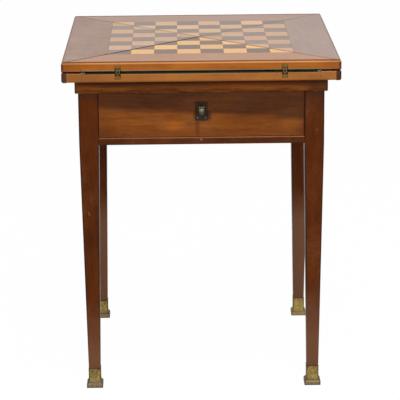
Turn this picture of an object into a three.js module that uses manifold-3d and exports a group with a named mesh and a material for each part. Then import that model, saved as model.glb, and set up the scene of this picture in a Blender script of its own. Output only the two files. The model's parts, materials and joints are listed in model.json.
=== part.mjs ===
// Envelope games table. Four triangular leaves fold in over a baize-lined bed, which swivels on a
// drawer frame with four tapered legs. Millimetres, +Z up, front towards -Y, origin on the floor.
import * as THREE from "three";
import { mergeVertices } from "three/addons/utils/BufferGeometryUtils.js";
import Module from "manifold-3d";

const wasm = await Module();
wasm.setup();

// Overall size and clearances
const tableHeight = 740;
const topWidth = 590;
const fitGap = 0.3; // round a piece that is let into another
const glueGap = 0.2; // along a glued joint
const cutOver = 2; // overrun of every cut
const roundSteps = 4; // facets of a rounded arris

// Leaves
const leafThickness = 20;
const leafGap = 3; // between a closed leaf and the bed
const leafJointGap = 1; // between neighbouring leaves
const leafTopRound = 4;
const hingeEdgeRound = 1.5; // arris beside the hinges, on leaf and bed

// Chessboard let into the leaves
const squareSize = 50;
const squaresPerSide = 8;
const veneerThickness = 1;
const veneerGap = 0.2; // between neighbouring squares
const scoreDepth = 0.4;

// Bed
const bedThickness = 20;
const lippingWidth = 10.5;
const bedBottomRound = 4.5;
const turnGap = 0.5; // between the bed and the frame it swivels on

// Baize, let in below the wooden border
const borderWidth = 30;
const baizeRecess = 2.2;
const baizeThickness = 1;
const baizeEdgeGap = 0.6; // back from the hinge edges

// Double-jointed card-table hinges, two on each edge
const hingeEndSpace = 119; // from an edge's end to the middle of a hinge
const armWidth = 12.2;
const armLength = 42;
const armThickness = 3;
const noseDepth = 13; // below the wooden border
const noseThickness = 9;
const tongueWidth = 3;
const tongueRound = 1.9;
const linkWidth = 8.6;
const linkRound = 2;
const linkPinRadius = 0.8;
const linkPinDepth = 2.1; // pin centre below the wooden border
const openLeafGap = 1; // between the edges of an open leaf and the bed
const linkSlotGap = 0.4;
const pinSides = 12;

// Swivel
const boltRadius = 6;
const boltHeadRadius = 15;
const boltHeadThickness = 4;
const washerRadius = 13;
const washerThickness = 3;
const washerInset = 3; // above the underside of the rail
const rivetRise = 1.5; // of the riveted end below the washer
const boltSides = 24;
const pegRadius = 5;
const pegPlace = 120; // from the swivel's centre
const pegLength = 19;
const pegRise = 7;
const pegPlay = 1;
const turnRange = THREE.MathUtils.degToRad(45);
const grooveSteps = 12;

// Top frame, the moulding under the bed
const topFrameOverhang = 6.5; // over the legs
const topFrameThickness = 28;
const topFrameBoard = 60;
const topFrameTopRound = 1;
const topFrameBottomRound = 3;
const pivotRailWidth = 90;

// Legs and aprons
const frameWidth = 525;
const legWidth = 42;
const legFootWidth = 25.7;
const drawerOpening = 98.5;
const railThickness = 16;
const railArrisRound = 3;
const apronThickness = 20;
const apronSetback = 0.5;
const tenonLength = 14;
const tenonThickness = 8;
const tenonShoulder = 10;

// Sabots, the cast cap feet
const sabotHeight = 44;
const sabotNeckWidth = 26.8;
const sabotRimWidth = 28;
const sabotRimHeight = 2.5;
const sabotBaseWidth = 35.6;
const sabotFlareHeight = 18;
const sabotPlinthHeight = 9;
const sabotStepWidth = 33;
const sabotFloor = 10;
const footTenonWidth = 22;

// Drawer
const drawerGap = 0.75; // round the drawer front
const drawerRunGap = 0.5; // under and beside the sides
const drawerFrontThickness = 20;
const drawerSideThickness = 10;
const drawerBottomThickness = 6;
const drawerSideHeight = 86;
const drawerBackHeight = 70;
const drawerBackSpace = 12; // behind the closed drawer
const drawerBottomRise = 4;
const bottomGrooveDepth = 5;
const dovetailLap = 12;
const dovetailFlare = 1.7;
const frontDovetails = 4;
const backDovetails = 3;
const dovetailRootShare = 0.62; // of the pitch
const runnerWidth = 52;
const guideHeight = 20;
const stopPlace = 120; // drawer stops on the rail, from the middle
const stopWidth = 30;
const stopDepth = 14;
const stopHeight = 3.5;

// Plate and drop pull on the drawer front
const plateWidth = 25.4;
const plateHeight = 38.8;
const plateThickness = 1.8;
const plateRise = 57; // centre above the drawer rail
const earWidth = 3.4;
const earSpace = 5;
const earReach = 5.4; // pin centre in front of the plate
const earRound = 2.6;
const pullPinRadius = 1.2;
const pullPinRise = 9; // above the centre of the plate
const pullEyeRound = 2.3;
const pullLength = 17;
const pullWidth = 13.4;
const pullThickness = 3.6;
const pullShoulder = 3.4; // below the pin
const pullTipRound = 1.4;

// Heights and half widths that follow
const leafBottom = tableHeight - leafThickness;
const bedTop = leafBottom - leafGap;
const bedBottom = bedTop - bedThickness;
const frameTop = bedBottom - turnGap;
const frameBottom = frameTop - topFrameThickness;
const railTop = frameBottom - drawerOpening;
const apronBottom = railTop - railThickness;
const topHalf = topWidth / 2;
const frameHalf = frameWidth / 2;
const topFrameHalf = frameHalf + topFrameOverhang;
const hingePlace = topHalf - hingeEndSpace; // from the middle of an edge
const legInner = frameHalf - legWidth;
const legCentre = frameHalf - legWidth / 2;
const boardHalf = (squareSize * squaresPerSide) / 2;
const cornerLeg = borderWidth * Math.SQRT2; // wooden corner of the bed, along its edge
const pinInset = linkPinDepth + (leafGap - openLeafGap) / 2; // pin centre in from the edge
const slotInset = pinInset + linkRound + linkSlotGap;
const slotDepth = linkPinDepth + linkRound + linkSlotGap;
const armTopDepth = baizeRecess - baizeThickness - glueGap;
const drawerHalf = legInner - drawerGap;
const drawerFace = -(frameHalf - apronSetback);
const drawerRear = drawerFace + drawerFrontThickness;
const apronInner = frameHalf - apronSetback - apronThickness;
const drawerEnd = apronInner - drawerBackSpace;
const drawerSideBottom = railTop + drawerRunGap;
const drawerSideInner = drawerHalf - drawerSideThickness;
const grooveBottom = drawerSideBottom + drawerBottomRise;
const grooveTop = grooveBottom + drawerBottomThickness + fitGap;

// Colours
const mahogany = { color: 0x7a4620, roughness: 0.38, metalness: 0 };
const paleMahogany = { color: 0xa5662f, roughness: 0.34, metalness: 0 };
const lightVeneer = { color: 0xd8a868, roughness: 0.35, metalness: 0 };
const baizeGreen = { color: 0x2b3a22, roughness: 0.95, metalness: 0 };
const agedBrass = { color: 0x8f7a45, roughness: 0.4, metalness: 1 };
const darkBronze = { color: 0x30241c, roughness: 0.5, metalness: 1 };
const drawerOak = { color: 0x9a7448, roughness: 0.65, metalness: 0 };
const rawPine = { color: 0xb08a58, roughness: 0.8, metalness: 0 };
const steel = { color: 0x6f6a64, roughness: 0.5, metalness: 1 };

// Turns a closed geometry into a solid that can be cut and joined
function solidFrom(geometry) {
  const bare = geometry.clone();
  bare.deleteAttribute("normal");
  bare.deleteAttribute("uv");
  const merged = mergeVertices(bare);
  const corners = [];
  for (let i = 0; i < merged.index.count; i += 3) {
    const [a, b, c] = [0, 1, 2].map((step) => merged.index.getX(i + step));
    if (a !== b && b !== c && c !== a) corners.push(a, b, c);
  }
  return new wasm.Manifold(new wasm.Mesh({
    numProp: 3,
    vertProperties: new Float32Array(merged.attributes.position.array),
    triVerts: new Uint32Array(corners),
  }));
}

// Turns a solid back into a geometry
function geometryFrom(solid) {
  const { vertProperties, triVerts } = solid.getMesh();
  const geometry = new THREE.BufferGeometry();
  geometry.setAttribute("position", new THREE.BufferAttribute(new Float32Array(vertProperties), 3));
  geometry.setIndex(new THREE.BufferAttribute(new Uint32Array(triVerts), 1));
  geometry.computeVertexNormals();
  return geometry;
}

function joined(solids) {
  return solids.reduce((whole, solid) => whole.add(solid));
}

function without(solid, cuts) {
  return cuts.reduce((rest, cut) => rest.subtract(cut), solid);
}

// A solid turned about the table's centre by a number of quarter turns
function turned(solid, quarters) {
  return solidFrom(geometryFrom(solid).rotateZ((quarters * Math.PI) / 2));
}

function block(x0, x1, y0, y1, z0, z1) {
  const geometry = new THREE.BoxGeometry(x1 - x0, y1 - y0, z1 - z0);
  return solidFrom(geometry.translate((x0 + x1) / 2, (y0 + y1) / 2, (z0 + z1) / 2));
}

function extruded(points, depth) {
  const shape = new THREE.Shape(points.map(([x, y]) => new THREE.Vector2(x, y)));
  return new THREE.ExtrudeGeometry(shape, { depth, bevelEnabled: false });
}

// An outline in the floor plane, from z0 up to z1
function plate(points, z0, z1) {
  return solidFrom(extruded(points, z1 - z0).translate(0, 0, z0));
}

// A profile of (y, z) points, from x0 to x1
function barAlongX(points, x0, x1) {
  const basis = new THREE.Matrix4().makeBasis(
    new THREE.Vector3(0, 1, 0), new THREE.Vector3(0, 0, 1), new THREE.Vector3(1, 0, 0));
  return solidFrom(extruded(points, x1 - x0).applyMatrix4(basis).translate(x0, 0, 0));
}

// A profile of (x, z) points, from y0 to y1
function barAlongY(points, y0, y1) {
  const basis = new THREE.Matrix4().makeBasis(
    new THREE.Vector3(1, 0, 0), new THREE.Vector3(0, 0, 1), new THREE.Vector3(0, -1, 0));
  return solidFrom(extruded(points, y1 - y0).applyMatrix4(basis).translate(0, y1, 0));
}

function arc(x, y, radius, fromTurn, toTurn, steps = roundSteps) {
  return Array.from({ length: steps + 1 }, (_, i) => {
    const angle = 2 * Math.PI * (fromTurn + ((toTurn - fromTurn) * i) / steps);
    return [x + radius * Math.cos(angle), y + radius * Math.sin(angle)];
  });
}

// A slab's section, with its four arrises rounded
function slabProfile(half, z0, z1, bottomRound, topRound) {
  return [
    ...arc(-half + bottomRound, z0 + bottomRound, bottomRound, 0.5, 0.75),
    ...arc(half - bottomRound, z0 + bottomRound, bottomRound, 0.75, 1),
    ...arc(half - topRound, z1 - topRound, topRound, 0, 0.25),
    ...arc(-half + topRound, z1 - topRound, topRound, 0.25, 0.5),
  ];
}

// A square slab with rounded arrises all round
function roundedSlab(half, z0, z1, bottomRound, topRound) {
  const profile = slabProfile(half, z0, z1, bottomRound, topRound);
  return barAlongX(profile, -half, half).intersect(barAlongY(profile, -half, half));
}

// A cylinder along X, centred on (x, y, z)
function pinAlongX(x, y, z, radius, length) {
  const geometry = new THREE.CylinderGeometry(radius, radius, length, pinSides);
  return solidFrom(geometry.rotateZ(Math.PI / 2).translate(x, y, z));
}

// A cylinder along Z, standing at (x, y) from z0 to z1
function pinAlongZ(x, y, z0, z1, radius, sides = boltSides) {
  const geometry = new THREE.CylinderGeometry(radius, radius, z1 - z0, sides);
  return solidFrom(geometry.rotateX(Math.PI / 2).translate(x, y, (z0 + z1) / 2));
}

// A square turned form from (half width, z) points, first and last on the axis
function squareTurning(x, y, points) {
  const profile = points.map(([half, z]) => new THREE.Vector2(half * Math.SQRT2, z));
  const geometry = new THREE.LatheGeometry(profile, 4, Math.PI / 4);
  return solidFrom(geometry.rotateX(Math.PI / 2).translate(x, y, 0));
}

const table = new THREE.Group();

function addPiece(name, look, solid, holder = table) {
  const mesh = new THREE.Mesh(geometryFrom(solid), new THREE.MeshStandardMaterial(look));
  mesh.name = name;
  holder.add(mesh);
}

// Places a point of the hinge section: inset from the front edge, depth into the wood
function hingePoint(side, inset, depth) {
  return [-topHalf + inset, side.level + side.way * depth];
}

const bedSide = { level: bedTop, way: -1 };
const leafSide = { level: leafBottom, way: 1 };

// One hinge arm on the front edge, at x: a bar let in flush, a thick nose and a pierced tongue
function hingeArm(side, x) {
  const section = [
    [armLength, armTopDepth], [slotInset, armTopDepth], [slotInset, slotDepth], [0, slotDepth],
    [0, noseDepth], [noseThickness, noseDepth], [noseThickness, armTopDepth + armThickness],
    [armLength, armTopDepth + armThickness],
  ].map(([inset, depth]) => hingePoint(side, inset, depth));
  const bar = barAlongX(section, x - armWidth / 2, x + armWidth / 2);
  const [pinY, pinZ] = hingePoint(side, pinInset, linkPinDepth);
  const stemEnd = side.level + side.way * (slotDepth + tongueRound);
  const stem = block(x - tongueWidth / 2, x + tongueWidth / 2, pinY - tongueRound,
    pinY + tongueRound, Math.min(pinZ, stemEnd), Math.max(pinZ, stemEnd));
  const eye = pinAlongX(x, pinY, pinZ, tongueRound, tongueWidth);
  const hole = pinAlongX(x, pinY, pinZ, linkPinRadius + fitGap, armWidth);
  return joined([bar, stem, eye]).subtract(hole);
}

// The space cut for one hinge arm and the sweep of its link
function hingePocket(side, x) {
  const half = armWidth / 2 + fitGap;
  const level = (depth) => side.level + side.way * depth;
  const span = (a, b) => [Math.min(a, b), Math.max(a, b)];
  const noseCut = block(x - half, x + half, -topHalf - cutOver, -topHalf + noseThickness + fitGap,
    ...span(level(-cutOver), level(noseDepth + fitGap)));
  const armCut = block(x - half, x + half, -topHalf, -topHalf + armLength + fitGap,
    ...span(level(-cutOver), level(armTopDepth + armThickness + fitGap)));
  return noseCut.add(armCut);
}

// One hinge link at x: two cheeks either side of the tongues, held by two pins
function hingeLink(x) {
  const [pinY, lowZ] = hingePoint(bedSide, pinInset, linkPinDepth);
  const highZ = leafBottom + linkPinDepth;
  const cheek = [...arc(pinY, highZ, linkRound, 0, 0.5, pinSides / 2),
    ...arc(pinY, lowZ, linkRound, 0.5, 1, pinSides / 2)];
  const inner = tongueWidth / 2 + fitGap;
  return joined([
    barAlongX(cheek, x - linkWidth / 2, x - inner),
    barAlongX(cheek, x + inner, x + linkWidth / 2),
    pinAlongX(x, pinY, lowZ, linkPinRadius, linkWidth - 2 * fitGap),
    pinAlongX(x, pinY, highZ, linkPinRadius, linkWidth - 2 * fitGap),
  ]);
}

// Left and right as seen from outside the edge
const hingeXs = { left: -hingePlace, right: hingePlace };
const bothHinges = Object.values(hingeXs);
const quarters = { front: 0, right: 1, back: 2, left: 3 };

// The room that one arm needs in the baize
function baizeNotch(x, z0, z1) {
  return block(x - armWidth / 2 - fitGap, x + armWidth / 2 + fitGap, -topHalf - cutOver,
    -topHalf + armLength + fitGap, z0 - cutOver, z1 + cutOver);
}

// A leaf's board in the front leaf's place, cut back along both mitres
function makeLeafBoard() {
  const mitreRoom = (leafJointGap / 2) * Math.SQRT2;
  const base = topHalf + cutOver;
  const triangle = plate([[-base + mitreRoom, -base], [base - mitreRoom, -base], [0, -mitreRoom]],
    leafBottom, tableHeight);
  const slab = roundedSlab(topHalf, leafBottom, tableHeight, hingeEdgeRound, leafTopRound);
  const boardBed = block(-boardHalf - veneerGap, boardHalf + veneerGap, -boardHalf - veneerGap,
    cutOver, tableHeight - veneerThickness - fitGap, tableHeight + cutOver);
  const baizeBed = plate([[-base + cornerLeg, -base], [base - cornerLeg, -base], [0, -cornerLeg]],
    leafBottom - cutOver, leafBottom + baizeRecess);
  return without(slab.intersect(triangle),
    [boardBed, baizeBed, ...bothHinges.map((x) => hingePocket(leafSide, x))]);
}

function makeLeafBaize() {
  const apex = cornerLeg + fitGap * Math.SQRT2;
  const edge = topHalf - baizeEdgeGap;
  const z1 = leafBottom + baizeRecess - glueGap;
  const z0 = z1 - baizeThickness;
  const cloth = plate([[-edge + apex, -edge], [edge - apex, -edge], [0, -apex]], z0, z1);
  return without(cloth, bothHinges.map((x) => baizeNotch(x, z0, z1)));
}

// The front leaf's quarter of the chessboard: one veneer sheet, scored between its squares
function makeLeafChessboard() {
  const mitreRoom = (leafJointGap / 2) * Math.SQRT2 + veneerGap;
  const mitred = (z0, z1) => plate([[-boardHalf + mitreRoom, -boardHalf],
    [boardHalf - mitreRoom, -boardHalf], [0, -mitreRoom]], z0, z1);
  const squareBottom = tableHeight - veneerThickness + scoreDepth / 2;
  const cutter = mitred(squareBottom - cutOver, tableHeight + cutOver);
  const squares = [];
  for (let row = 0; row < squaresPerSide / 2; row += 1) {
    for (let column = row; column < squaresPerSide - row; column += 1) {
      const x0 = -boardHalf + column * squareSize + veneerGap / 2;
      const y0 = -boardHalf + row * squareSize + (row > 0 ? veneerGap / 2 : 0);
      const y1 = -boardHalf + (row + 1) * squareSize - veneerGap / 2;
      const square = block(x0, x0 + squareSize - veneerGap, y0, y1, squareBottom, tableHeight);
      const onMitre = column === row || column === squaresPerSide - 1 - row;
      squares.push(onMitre ? square.intersect(cutter) : square);
    }
  }
  const backing = mitred(tableHeight - veneerThickness, tableHeight - scoreDepth);
  return backing.add(joined(squares));
}

for (const [place, quarter] of Object.entries(quarters)) {
  const holder = new THREE.Group();
  holder.rotation.z = (quarter * Math.PI) / 2;
  table.add(holder);
  addPiece(`${place}_leaf`, paleMahogany, makeLeafBoard(), holder);
  addPiece(`${place}_leaf_baize`, baizeGreen, makeLeafBaize(), holder);
  addPiece(`${place}_leaf_chessboard`, lightVeneer, makeLeafChessboard(), holder);
  for (const [side, x] of Object.entries(hingeXs)) {
    addPiece(`${place}_leaf_arm_${side}`, agedBrass, hingeArm(leafSide, x), holder);
    addPiece(`${place}_bed_arm_${side}`, agedBrass, hingeArm(bedSide, x), holder);
    addPiece(`${place}_link_${side}`, agedBrass, hingeLink(x), holder);
  }
}

// Bed: a board in a ring of lippings, sunk for the baize but for its wooden corners
function makeBed() {
  const slab = roundedSlab(topHalf, bedBottom, bedTop, bedBottomRound, hingeEdgeRound);
  const reach = topWidth - cornerLeg;
  const diamond = plate([[reach, 0], [0, reach], [-reach, 0], [0, -reach]],
    bedTop - baizeRecess, bedTop + cutOver);
  const outer = topHalf + cutOver;
  const baizeBed = diamond.intersect(
    block(-outer, outer, -outer, outer, bedTop - baizeRecess, bedTop + cutOver));
  const pockets = Object.values(quarters).flatMap((quarter) =>
    bothHinges.map((x) => turned(hingePocket(bedSide, x), quarter)));
  const cuts = [baizeBed, ...pockets];
  const inner = topHalf - lippingWidth;
  const core = inner - glueGap;
  const boltHole = pinAlongZ(0, 0, bedBottom - cutOver, bedTop, boltRadius + fitGap);
  const headRoom = pinAlongZ(0, 0, bedTop - baizeRecess - boltHeadThickness - 2 * fitGap, bedTop,
    boltHeadRadius + fitGap);
  const board = slab.intersect(block(-core, core, -core, core, bedBottom, bedTop));
  addPiece("bed_board", mahogany, without(board, [...cuts, boltHole, headRoom, makeStopGroove()]));
  const ring = slab.subtract(block(-inner, inner, -inner, inner, bedBottom - cutOver,
    bedTop + cutOver));
  addPiece("bed_lipping", paleMahogany, without(ring, cuts));
}

// The arc-shaped groove under the bed that the stop peg runs in
function makeStopGroove() {
  const half = pegRadius + pegPlay;
  const extra = half / pegPlace / (2 * Math.PI);
  const range = turnRange / (2 * Math.PI);
  const outline = [...arc(0, 0, pegPlace + half, -range - extra, extra, grooveSteps),
    ...arc(0, 0, pegPlace - half, extra, -range - extra, grooveSteps)];
  return plate(outline, bedBottom - cutOver, frameTop + pegRise + pegPlay);
}

function makeBedBaize() {
  const half = topHalf - baizeEdgeGap;
  const reach = topWidth - cornerLeg - fitGap * Math.SQRT2;
  const z0 = bedTop - baizeRecess + glueGap;
  const z1 = z0 + baizeThickness;
  const cloth = plate([[reach, 0], [0, reach], [-reach, 0], [0, -reach]], z0, z1)
    .intersect(block(-half, half, -half, half, z0, z1));
  const notches = Object.values(quarters).flatMap((quarter) =>
    bothHinges.map((x) => turned(baizeNotch(x, z0, z1), quarter)));
  addPiece("bed_baize", baizeGreen, without(cloth, notches));
}

// Pivot pin: its head lies under the baize, and a washer is riveted on below the frame's rail
function makePivotPin() {
  const headTop = bedTop - baizeRecess - fitGap;
  const headBottom = headTop - boltHeadThickness;
  const washerBottom = frameBottom + washerInset;
  return joined([
    pinAlongZ(0, 0, headBottom, headTop, boltHeadRadius),
    pinAlongZ(0, 0, washerBottom - rivetRise, headTop, boltRadius),
    pinAlongZ(0, 0, washerBottom, washerBottom + washerThickness, washerRadius),
  ]);
}

makeBed();
makeBedBaize();
addPiece("pivot_pin", steel, makePivotPin());

// Top frame: a square frame with its pivot rail and the peg that stops the bed's turn
function makeTopFrame() {
  const slab = roundedSlab(topFrameHalf, frameBottom, frameTop, topFrameBottomRound,
    topFrameTopRound);
  const inner = topFrameHalf - topFrameBoard;
  const opening = block(-inner, inner, -inner, inner, frameBottom - cutOver, frameTop + cutOver);
  const rail = block(-inner - cutOver, inner + cutOver, -pivotRailWidth / 2, pivotRailWidth / 2,
    frameBottom, frameTop);
  const peg = pinAlongZ(pegPlace, 0, frameTop - pegLength, frameTop + pegRise, pegRadius);
  const washerRoom = pinAlongZ(0, 0, frameBottom - cutOver,
    frameBottom + washerInset + washerThickness + fitGap, washerRadius + fitGap);
  const pinHole = pinAlongZ(0, 0, frameBottom, frameTop + cutOver, boltRadius + fitGap);
  addPiece("top_frame", mahogany,
    without(joined([slab.subtract(opening), rail, peg]), [washerRoom, pinHole]));
}

makeTopFrame();

// Tenons of the aprons and of the drawer rail: on the left or right of the table, way is -1 or 1
const apronTenonMiddle = frameHalf - apronSetback - apronThickness / 2;
const apronTenonBottom = apronBottom + tenonShoulder;
const apronTenonTop = frameBottom - tenonShoulder;
const railTenonBottom = apronBottom + railThickness / 4;
const railTenonTop = railTop - railThickness / 4;
const railTenonFront = drawerFace + legWidth / 4;
const railTenonBack = drawerFace + (legWidth * 3) / 4;

// Both ends' tenons of a side apron at x, or with room round them, its mortises
function sideTenons(x, room) {
  const reach = legInner + tenonLength + room;
  const half = tenonThickness / 2 + room;
  return block(x - half, x + half, -reach, reach, apronTenonBottom - room, apronTenonTop + room);
}

function backTenons(room) {
  const reach = legInner + tenonLength + room;
  const half = tenonThickness / 2 + room;
  return block(-reach, reach, apronTenonMiddle - half, apronTenonMiddle + half,
    apronTenonBottom - room, apronTenonTop + room);
}

function railTenons(room) {
  const reach = legInner + tenonLength + room;
  return block(-reach, reach, railTenonFront - room, railTenonBack + room,
    railTenonBottom - room, railTenonTop + room);
}

function makeLegs() {
  const mortises = [sideTenons(-apronTenonMiddle, fitGap), sideTenons(apronTenonMiddle, fitGap),
    backTenons(fitGap), railTenons(fitGap)];
  const legHalf = legWidth / 2;
  const footHalf = legFootWidth / 2;
  const tenonHalf = footTenonWidth / 2;
  for (const [front, wayY] of [["front", -1], ["back", 1]]) {
    for (const [side, wayX] of [["left", -1], ["right", 1]]) {
      const x = wayX * legCentre;
      const y = wayY * legCentre;
      const leg = squareTurning(x, y, [
        [0, sabotFloor + fitGap], [tenonHalf, sabotFloor + fitGap],
        [tenonHalf, sabotHeight + fitGap], [footHalf, sabotHeight + fitGap],
        [legHalf, apronBottom], [legHalf, frameBottom - glueGap], [0, frameBottom - glueGap],
      ]);
      addPiece(`leg_${front}_${side}`, mahogany, without(leg, mortises));
      const sabot = squareTurning(x, y, [
        [0, 0], [sabotBaseWidth / 2, 0], [sabotBaseWidth / 2, sabotPlinthHeight],
        [sabotStepWidth / 2, sabotPlinthHeight + (sabotBaseWidth - sabotStepWidth) / 2],
        ...sabotFlare(), [sabotNeckWidth / 2, sabotHeight - 2 * sabotRimHeight],
        [sabotRimWidth / 2, sabotHeight - sabotRimHeight], [sabotRimWidth / 2, sabotHeight],
        [0, sabotHeight],
      ]);
      const socket = block(x - tenonHalf - fitGap, x + tenonHalf + fitGap, y - tenonHalf - fitGap,
        y + tenonHalf + fitGap, sabotFloor, sabotHeight + cutOver);
      addPiece(`sabot_${front}_${side}`, agedBrass, sabot.subtract(socket));
    }
  }
}

// Hollow curve of a sabot from its step up to its neck, as (half width, z) points
function sabotFlare() {
  const stepHalf = sabotStepWidth / 2;
  const neckHalf = sabotNeckWidth / 2;
  const low = sabotPlinthHeight + (sabotBaseWidth - sabotStepWidth) / 2;
  return Array.from({ length: roundSteps }, (_, i) => {
    const angle = ((i + 1) / roundSteps) * (Math.PI / 2);
    return [stepHalf - (stepHalf - neckHalf) * Math.sin(angle),
      low + (sabotFlareHeight - low) * (1 - Math.cos(angle))];
  });
}

// The drawer's runner and guide, glued along the inside of a side apron
function makeRunner(way, end) {
  const outer = way * (apronInner + glueGap);
  const guideInner = way * (drawerHalf + drawerRunGap);
  const bearerInner = way * (apronInner - runnerWidth);
  return barAlongY([[outer, apronBottom], [bearerInner, apronBottom], [bearerInner, railTop],
    [guideInner, railTop], [guideInner, railTop + guideHeight], [outer, railTop + guideHeight]],
  -end, end);
}

function makeAprons() {
  const z0 = apronBottom;
  const z1 = frameBottom - glueGap;
  const outer = frameHalf - apronSetback;
  const end = legInner - glueGap;
  for (const [side, way] of [["left", -1], ["right", 1]]) {
    const board = block(Math.min(way * outer, way * apronInner), Math.max(way * outer,
      way * apronInner), -end, end, z0, z1);
    const tenons = sideTenons(way * apronTenonMiddle, 0);
    addPiece(`apron_${side}`, mahogany, joined([board, tenons, makeRunner(way, end)]));
  }
  const back = block(-end, end, apronInner, outer, z0, z1);
  addPiece("apron_back", mahogany, back.add(backTenons(0)));
  const railBack = -legInner;
  const railSection = [...arc(drawerFace + railArrisRound, railTop - railArrisRound,
    railArrisRound, 0.25, 0.5), [drawerFace, z0], [railBack, z0], [railBack, railTop]];
  const rail = barAlongX(railSection, -end, end);
  const stopFront = drawerRear + glueGap;
  const stops = [-stopPlace, stopPlace].map((x) => block(x - stopWidth / 2, x + stopWidth / 2,
    stopFront, stopFront + stopDepth, z0, railTop + stopHeight));
  addPiece("drawer_rail", mahogany, joined([rail, railTenons(0), ...stops]));
}

makeLegs();
makeAprons();

// Dovetails of a drawer side, cut from y0 to y1; backed reaches past y0, room widens all round
function dovetails(x0, y0, y1, z0, z1, count, backed, room) {
  const pitch = (z1 - z0) / count;
  const root = (pitch * dovetailRootShare) / 2 + room;
  const tip = root + dovetailFlare;
  const way = Math.sign(y1 - y0);
  return Array.from({ length: count }, (_, i) => {
    const z = z0 + pitch * (i + 0.5);
    return barAlongX([
      [y0 - way * backed, z - root], [y0, z - root], [y1 + way * room, z - tip],
      [y1 + way * room, z + tip], [y0, z + root], [y0 - way * backed, z + root],
    ], x0 - room, x0 + drawerSideThickness + room);
  });
}

function makeDrawer() {
  const sideTop = drawerSideBottom + drawerSideHeight;
  const backBottom = grooveTop;
  const backTop = backBottom + drawerBackHeight;
  const backFront = drawerEnd - drawerSideThickness;
  const sideStart = { left: -drawerHalf, right: drawerSideInner };
  const frontTails = (x0, room) => dovetails(x0, drawerRear, drawerRear - dovetailLap,
    drawerSideBottom, sideTop, frontDovetails, cutOver, room);
  const backTails = (x0, room) => dovetails(x0, backFront, drawerEnd, backBottom, backTop,
    backDovetails, cutOver, room);
  const starts = Object.values(sideStart);
  const grooveHalf = drawerSideInner + bottomGrooveDepth;
  const groove = block(-grooveHalf, grooveHalf, drawerRear - bottomGrooveDepth,
    drawerEnd + cutOver, grooveBottom, grooveTop);
  const front = block(-drawerHalf, drawerHalf, drawerFace, drawerRear, railTop + drawerGap,
    frameBottom - drawerGap);
  addPiece("drawer_front", mahogany,
    without(front, [groove, ...starts.flatMap((x0) => frontTails(x0, fitGap))]));
  for (const [side, x0] of Object.entries(sideStart)) {
    const board = block(x0, x0 + drawerSideThickness, drawerRear + glueGap, drawerEnd,
      drawerSideBottom, sideTop);
    const backRoom = block(x0 - cutOver, x0 + drawerSideThickness + cutOver, backFront - glueGap,
      drawerEnd + cutOver, backBottom, backTop + glueGap);
    addPiece(`drawer_side_${side}`, drawerOak, joined([board.subtract(backRoom),
      ...frontTails(x0, 0), ...backTails(x0, 0)]).subtract(groove));
  }
  const back = block(-drawerHalf, drawerHalf, backFront, drawerEnd, backBottom, backTop);
  addPiece("drawer_back", drawerOak, without(back, starts.flatMap((x0) => backTails(x0, fitGap))));
  addPiece("drawer_bottom", rawPine, block(-grooveHalf + fitGap, grooveHalf - fitGap,
    drawerRear - bottomGrooveDepth + fitGap, drawerEnd, grooveBottom + fitGap / 2,
    grooveTop - fitGap / 2));
}

// Plate on the drawer front, with the two ears that the drop pull hangs between
function makePull() {
  const plateZ = railTop + plateRise;
  const back = drawerFace - glueGap;
  const face = back - plateThickness;
  const pinY = face - earReach;
  const pinZ = plateZ + pullPinRise;
  const sheet = block(-plateWidth / 2, plateWidth / 2, face, back, plateZ - plateHeight / 2,
    plateZ + plateHeight / 2);
  const earSection = [...arc(pinY, pinZ, earRound, 0.25, 0.75, pinSides / 2),
    [face + plateThickness / 2, pinZ - earRound], [face + plateThickness / 2, pinZ + earRound]];
  const ears = [-earSpace / 2 - earWidth, earSpace / 2].map((x0) =>
    barAlongX(earSection, x0, x0 + earWidth));
  const earHoles = pinAlongX(0, pinY, pinZ, pullPinRadius + fitGap, plateWidth);
  const earZone = block(-plateWidth, plateWidth, pinY - earRound, face, pinZ - earRound,
    pinZ + earRound);
  addPiece("pull_plate", darkBronze, joined([sheet, ...ears]).subtract(
    earHoles.intersect(earZone)));
  const pin = pinAlongX(0, pinY, pinZ, pullPinRadius, earSpace + 2 * earWidth);
  const eye = pinAlongX(0, pinY, pinZ, pullEyeRound, earSpace - 2 * fitGap);
  addPiece("drop_pull", agedBrass, joined([pin, eye, makeDrop(pinY, pinZ)]));
}

// The drop: a flat tear shape, broad at the shoulder and drawn down to a small round tip
function makeDrop(pinY, pinZ) {
  const bodyRadius = pullWidth / 2;
  const bodyZ = pinZ - pullShoulder - bodyRadius;
  const tipZ = pinZ - pullLength + pullTipRound;
  const lean = Math.asin((bodyRadius - pullTipRound) / (bodyZ - tipZ)) / (2 * Math.PI);
  const outline = [...arc(0, bodyZ, bodyRadius, -lean, 0.5 + lean, pinSides),
    ...arc(0, tipZ, pullTipRound, 0.5 + lean, 1 - lean, roundSteps)];
  const neckHalf = earSpace / 2 - fitGap;
  const neck = block(-neckHalf, neckHalf, pinY - pullThickness / 2, pinY + pullThickness / 2,
    bodyZ, pinZ);
  return barAlongY(outline, pinY - pullThickness / 2, pinY + pullThickness / 2).add(neck);
}

makeDrawer();
makePull();

export default table;
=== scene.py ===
import json
import math
import bpy
import bmesh
import numpy as np
from mathutils import Euler, Matrix

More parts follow.
